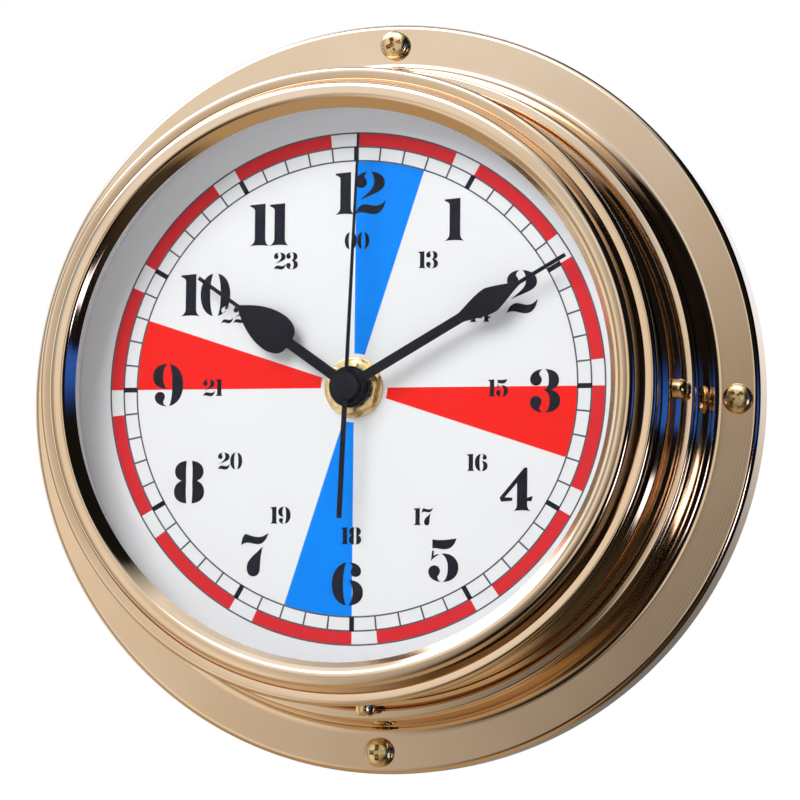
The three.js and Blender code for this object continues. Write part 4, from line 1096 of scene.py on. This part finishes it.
# Bezel ring
# A heavy turned brass ring slides over the spigot: rear bead, groove, body, front bead and a rolled face.
# Its bevelled lip holds the glass, and it is polished brighter than the case.
BODY_DRILL = (66, 78)
BEZEL_CORNERS = [
    (69.6, 20.0, 0.2),
    (77.0, 20.0, 1.5),
    (77.0, 23.25, 0.7),
    (74.5, 23.4, 0.6),
    (74.5, 22.4),
    (72.6, 24.2, 0.5),
    (72.6, 31.4, 0.4),
    (71.1, 32.4, 0.4),
    (71.1, 46.8, 0.2),
    (73.5, 46.8, 1.9),
    (73.5, 50.9, 1.3),
    (70.4, 50.7, 0.5),
    (70.4, 49.6),
    (69.3, 49.4),
    (69.3, 55.5, 0.9, 2.2),
    (65.9, 55.5, 0.8, 0.6),
    (64.7, 54.55, 0.2),
    (63.5, 53.4),
    (64.2, 52.7),
    (67.0, 52.7),
    (67.0, 48.8),
    (69.6, 46.2),
]
bezel_brass = turned_brass("bezel_brass", (0.81, 0.595, 0.395), (0.76, 0.54, 0.34), 0.06, 0.1)
bezel_mesh = turned(softened(BEZEL_CORNERS), bezel_brass)
bezel_mesh = carved(bezel_mesh, drills(BEZEL_HOLE, *BODY_DRILL, (1, 0, 0), bezel_screw_place))
piece("bezel_turned_brass", bezel_mesh, "case", bezel_brass, ["bezel_ring"])

# Bezel screws
# Four short raised-head screws lie radially in the groove and lock the bezel to the spigot.
# They are turned from brass rod like the flange screws, and each cross lies another way.
BEZEL_HEAD = 2.3
BEZEL_HEAD_HEIGHT = 3.4
BEZEL_SHANK = 1.5
BEZEL_SCREW_LENGTH = 6.1
BEZEL_SCREW_SEAT = 72.7
BEZEL_SEED = 3

bezel_screw = cross_screw(screw_brass, BEZEL_HEAD, BEZEL_HEAD_HEIGHT, BEZEL_SHANK, BEZEL_SCREW_LENGTH)
bezel_screw.transform(Matrix.Rotation(math.radians(90), 4, "Z"))
screw_set("bezel", bezel_screw, BEZEL_SCREW_SEAT, BEZEL_SCREW_DEPTH, BEZEL_SEED, own_axis=(1, 0, 0))

# Glass and gasket
# A flat clear pane, ground at the edge, rests on the reflector ring. A rubber gasket seals it to the lip.
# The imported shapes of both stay, and only get their finish.


def clear_pane(name):
    """Coated glass that hardly mirrors the room, with a trace of dust. Lamplight passes straight on."""
    material, tree, place = new_finish(name)
    dust = noise(tree, place, 90.0, 4.0)
    look = {
        "Base Color": (0.985, 0.99, 0.99, 1),
        "Roughness": ranged(tree, dust, 0.0, 0.03, 0.5, 0.8),
        "Transmission Weight": 1.0,
        "IOR": 1.1,
    }
    finished(material, look)
    pane = tree.nodes["Principled BSDF"].outputs[0]
    clear = made(tree, "ShaderNodeBsdfTransparent")
    from_lamp = add_node(tree, "ShaderNodeLightPath").outputs["Is Shadow Ray"]
    both = made(tree, "ShaderNodeMixShader", {0: from_lamp, 1: pane, 2: clear})
    set_inputs(tree.nodes["Material Output"], {"Surface": both})
    return material


dress(clear_pane("clear_glass"), "front_glass")
dress(black_rubber, "glass_gasket")

# Floor
# A plain pale floor some way below the clock, which hangs. It is matt, and the metal doesn't mirror it.
# Towards its edge it fades into the white background.
FLOOR_HEIGHT = -0.25
FLOOR_HALF = 3.0
FADE_START = 0.45
FADE_END = 1.2
OWN_LIGHT = 0.3
FLOOR_CELLS = 12


def pale_floor(name):
    """A matt pale grey that turns to plain white away from the clock."""
    material, tree, place = new_finish(name)
    distance = add_node(tree, "ShaderNodeVectorMath", {0: place}, operation="LENGTH").outputs["Value"]
    fade = ranged(tree, distance, OWN_LIGHT, 1.0, FADE_START, FADE_END, interpolation_type="SMOOTHSTEP")
    grain = noise(tree, place, 60.0, 3.0)
    look = {"Base Color": mixed_colour(tree, grain, (0.84, 0.84, 0.83), (0.80, 0.80, 0.79)), "Roughness": 0.8}
    finished(material, look)
    pale = tree.nodes["Principled BSDF"].outputs[0]
    white = made(tree, "ShaderNodeEmission", {"Color": (1, 1, 1, 1), "Strength": 1.0})
    both = made(tree, "ShaderNodeMixShader", {0: fade, 1: pale, 2: white})
    set_inputs(tree.nodes["Material Output"], {"Surface": both})
    return material


floor_mesh = bpy.data.meshes.new("floor")
floor_shape = bmesh.new()
bmesh.ops.create_grid(floor_shape, x_segments=FLOOR_CELLS, y_segments=FLOOR_CELLS, size=FLOOR_HALF)
floor_shape.to_mesh(floor_mesh)
floor_shape.free()
floor_mesh.transform(Matrix.Translation((0, 0, FLOOR_HEIGHT)))
floor_mesh.materials.append(pale_floor("pale_floor"))
floor = bpy.data.objects.new("floor", floor_mesh)
bpy.context.scene.collection.objects.link(floor)
floor.visible_glossy = False

# Studio light
# One soft lamp high on the left in front, in an even pale surround. Polished metal mirrors a room: a wall
# bright at the left, a white strip by the camera, a ceiling, a tan ground, and a dark right with a window.
# Its areas are bounded by the direction from the clock: across to the right, away to the wall, and upward.
KEY_PLACE = Vector((-0.374, -1.245, 0.748))
KEY_SIZE = 0.9
KEY_POWER = 8.7
AMBIENT = 0.2
WHITE = (1, 1, 1)
WALL_LEVEL = -0.4
WALL_ACROSS = -3.7
WALL_UP = 3.3
WALL_DARKEST = 0.008
WALL_END = (-0.3, 0.2)
STRIP_LIGHT = 0.9
STRIP_ACROSS = (-0.1, 0.1, 0.03)
STRIP_UP = (-0.13, 0.4, 0.04)
SIDE_LIGHT = 1.15
SIDE_DIM = 0.4
SIDE_ACROSS = (-0.8, -0.45)
SIDE_AWAY = (-0.2, -0.05)
CEILING_LIGHT = 3.4
CEILING_SLOPE = -0.4
CEILING_EDGE = (0.43, 0.58)
CEILING_END = (0.02, 0.14)
OVERHEAD_DIM = 0.03
OVERHEAD_UP = (0.8, 0.88)
BACK_LIGHT = 1.0
BACK_DIM = 0.2
BACK_FADE = (-0.2, 0.15)
BACK_AWAY = (0.86, 0.95)
BACK_UP = (-0.4, 0.45, 0.05)
SILL_LIGHT = 5.0
SILL_ACROSS = (0.59, 0.73, 0.02)
SILL_AWAY = (-0.64, -0.6)
SILL_UP = (-0.33, -0.12, 0.02)
STREAK_LIGHT = 2.2
STREAK_ACROSS = (0.72, 0.76)
STREAK_AWAY = (-0.62, -0.47, 0.025)
STREAK_UP = (-0.5, -0.25, 0.025)
COOL_UP = (0.08, 0.18)
COOL_GREEN = 1.1
COOL_BLUE = 1.25
LIGHT_GREEN = 1.1
LIGHT_BLUE = 1.5
GROUND_BROWN = (0.50, 0.39, 0.25)
GROUND_UP = (-0.75, -0.3)
GROUND_ACROSS = (0.2, 0.45)
GROUND_DIM = 0.1
WINDOW_BLUE = (0.03, 0.14, 0.85)
WINDOW_ACROSS = (0.66, 0.76)
WINDOW_NEAR = (-0.72, -0.64)
WINDOW_FAR = (-0.15, 0.0)
WINDOW_DIM = 0.1
WINDOW_FOOT = (-0.11, -0.05)
WINDOW_HEAD = (0.0, 0.21)

scene = bpy.context.scene
scene.view_settings.view_transform = "Standard"
lamp = bpy.data.lights.new("key", "AREA")
lamp.shape = "DISK"
lamp.size = KEY_SIZE
lamp.energy = KEY_POWER
key = bpy.data.objects.new("key", lamp)
key.location = KEY_PLACE
key.rotation_mode = "QUATERNION"
key.rotation_quaternion = (-KEY_PLACE).to_track_quat("-Z", "Y")
key.visible_glossy = False
scene.collection.objects.link(key)

world = bpy.data.worlds.new("studio")
scene.world = world
world.use_nodes = True
room = world.node_tree
room.nodes.clear()


def product(first, *others):
    for other in others:
        first = worked(room, "MULTIPLY", first, other)
    return first


def rising(value, start, end, low=0.0, high=1.0):
    """A soft step from low up to high."""
    return ranged(room, value, low, high, start, end, interpolation_type="SMOOTHSTEP")


def falling(value, start, end, low=0.0):
    """A soft step from one down to low."""
    return rising(value, start, end, 1.0, low)


def between(value, low, high, soft):
    """One between two values and nothing outside them, with soft edges."""
    rise = rising(value, low - soft, low + soft)
    return product(rise, falling(value, high - soft, high + soft))


ray = add_node(room, "ShaderNodeTexCoord").outputs["Generated"]
toward = add_node(room, "ShaderNodeSeparateXYZ", {0: ray}).outputs
across, away, upward = toward["X"], toward["Y"], toward["Z"]

above_table = worked(room, "MAXIMUM", upward, 0.0)
wall = worked(room, "MULTIPLY_ADD", across, WALL_ACROSS, WALL_LEVEL)
wall = worked(room, "MULTIPLY_ADD", above_table, WALL_UP, wall)
wall = made(room, "ShaderNodeClamp", {"Value": wall, "Min": WALL_DARKEST, "Max": 1.0})
strip = product(between(across, *STRIP_ACROSS), between(upward, *STRIP_UP), STRIP_LIGHT)
wall = worked(room, "MAXIMUM", wall, strip)
wall = product(wall, falling(away, *WALL_END))
far_left = falling(across, *SIDE_ACROSS)
side = rising(away, *SIDE_AWAY, SIDE_DIM, SIDE_LIGHT)
wall = made(room, "ShaderNodeMix", {0: far_left, 2: wall, 3: side})

behind = worked(room, "MAXIMUM", away, 0.0)
ceiling_height = worked(room, "MULTIPLY_ADD", behind, CEILING_SLOPE, upward)
ceiling = product(rising(ceiling_height, *CEILING_EDGE), falling(across, *CEILING_END))
ceiling = product(ceiling, falling(upward, *OVERHEAD_UP, OVERHEAD_DIM), CEILING_LIGHT)
horizon_level = rising(upward, *BACK_FADE, BACK_DIM, BACK_LIGHT)
horizon = product(rising(away, *BACK_AWAY), between(upward, *BACK_UP), horizon_level)
sill = product(between(across, *SILL_ACROSS), falling(away, *SILL_AWAY))
sill = product(sill, between(upward, *SILL_UP), SILL_LIGHT)
streak = product(rising(across, *STREAK_ACROSS), between(away, *STREAK_AWAY))
streak = product(streak, between(upward, *STREAK_UP), STREAK_LIGHT)

plain = worked(room, "ADD", wall, horizon)
lights = worked(room, "ADD", worked(room, "ADD", ceiling, sill), streak)
red_level = worked(room, "ADD", plain, lights)
cool_green = product(plain, rising(upward, *COOL_UP, 1.0, COOL_GREEN))
green_level = worked(room, "MULTIPLY_ADD", lights, LIGHT_GREEN, cool_green)
cool_blue = product(plain, rising(upward, *COOL_UP, 1.0, COOL_BLUE))
blue_level = worked(room, "MULTIPLY_ADD", lights, LIGHT_BLUE, cool_blue)
pale_room = made(room, "ShaderNodeCombineColor", {0: red_level, 1: green_level, 2: blue_level})
ground = product(falling(upward, *GROUND_UP), falling(across, *GROUND_ACROSS, GROUND_DIM))
with_ground = mixed_colour(room, ground, pale_room, GROUND_BROWN)
window = product(rising(upward, *WINDOW_FOOT), falling(upward, *WINDOW_HEAD))
window = product(window, rising(across, *WINDOW_ACROSS), rising(away, *WINDOW_NEAR))
window = product(window, falling(away, *WINDOW_FAR, WINDOW_DIM))
with_window = mixed_colour(room, window, with_ground, WINDOW_BLUE)

path = add_node(room, "ShaderNodeLightPath").outputs
seen_colour = mixed_colour(room, path["Is Glossy Ray"], WHITE, with_window)
seen = worked(room, "MAXIMUM", path["Is Camera Ray"], path["Is Glossy Ray"])
seen = worked(room, "MAXIMUM", seen, path["Is Transmission Ray"])
seen = product(seen, worked(room, "LESS_THAN", path["Diffuse Depth"], 0.5))
even = made(room, "ShaderNodeBackground", {"Color": (*WHITE, 1), "Strength": AMBIENT})
surround = made(room, "ShaderNodeBackground", {"Color": seen_colour, "Strength": 1.0})
chosen = made(room, "ShaderNodeMixShader", {0: seen, 1: even, 2: surround})
add_node(room, "ShaderNodeOutputWorld", {"Surface": chosen})

# Camera
# Fifteen degrees to the right of the dial, four degrees from below, 900 mm from the middle of the back.
# The lens is long, and the middle of the picture lies a little off its axis.
CAMERA_YAW = math.radians(15.04)
CAMERA_PITCH = math.radians(-3.98)
CAMERA_ROLL = math.radians(0.54)
CAMERA_DISTANCE = 0.9
CAMERA_LENS = 167.3
SENSOR_WIDTH = 36
IMAGE_SIDE = 800
SHIFT_ACROSS = 1.5
SHIFT_UP = -0.2
NEAREST = 0.01

back = Vector(
    (
        math.sin(CAMERA_YAW) * math.cos(CAMERA_PITCH),
        -math.cos(CAMERA_YAW) * math.cos(CAMERA_PITCH),
        math.sin(CAMERA_PITCH),
    )
)
level_right = Vector((math.cos(CAMERA_YAW), math.sin(CAMERA_YAW), 0))
level_up = back.cross(level_right)
right = level_right * math.cos(CAMERA_ROLL) + level_up * math.sin(CAMERA_ROLL)
up = level_up * math.cos(CAMERA_ROLL) - level_right * math.sin(CAMERA_ROLL)
camera_data = bpy.data.cameras.new("camera")
camera_data.sensor_width = SENSOR_WIDTH
camera_data.lens = CAMERA_LENS
camera_data.shift_x = SHIFT_ACROSS / IMAGE_SIDE
camera_data.shift_y = SHIFT_UP / IMAGE_SIDE
camera_data.clip_start = NEAREST
camera = bpy.data.objects.new("camera", camera_data)
facing = Matrix((right, up, back)).transposed().to_4x4()
camera.matrix_world = Matrix.Translation(back * CAMERA_DISTANCE) @ facing
scene.collection.objects.link(camera)
scene.camera = camera
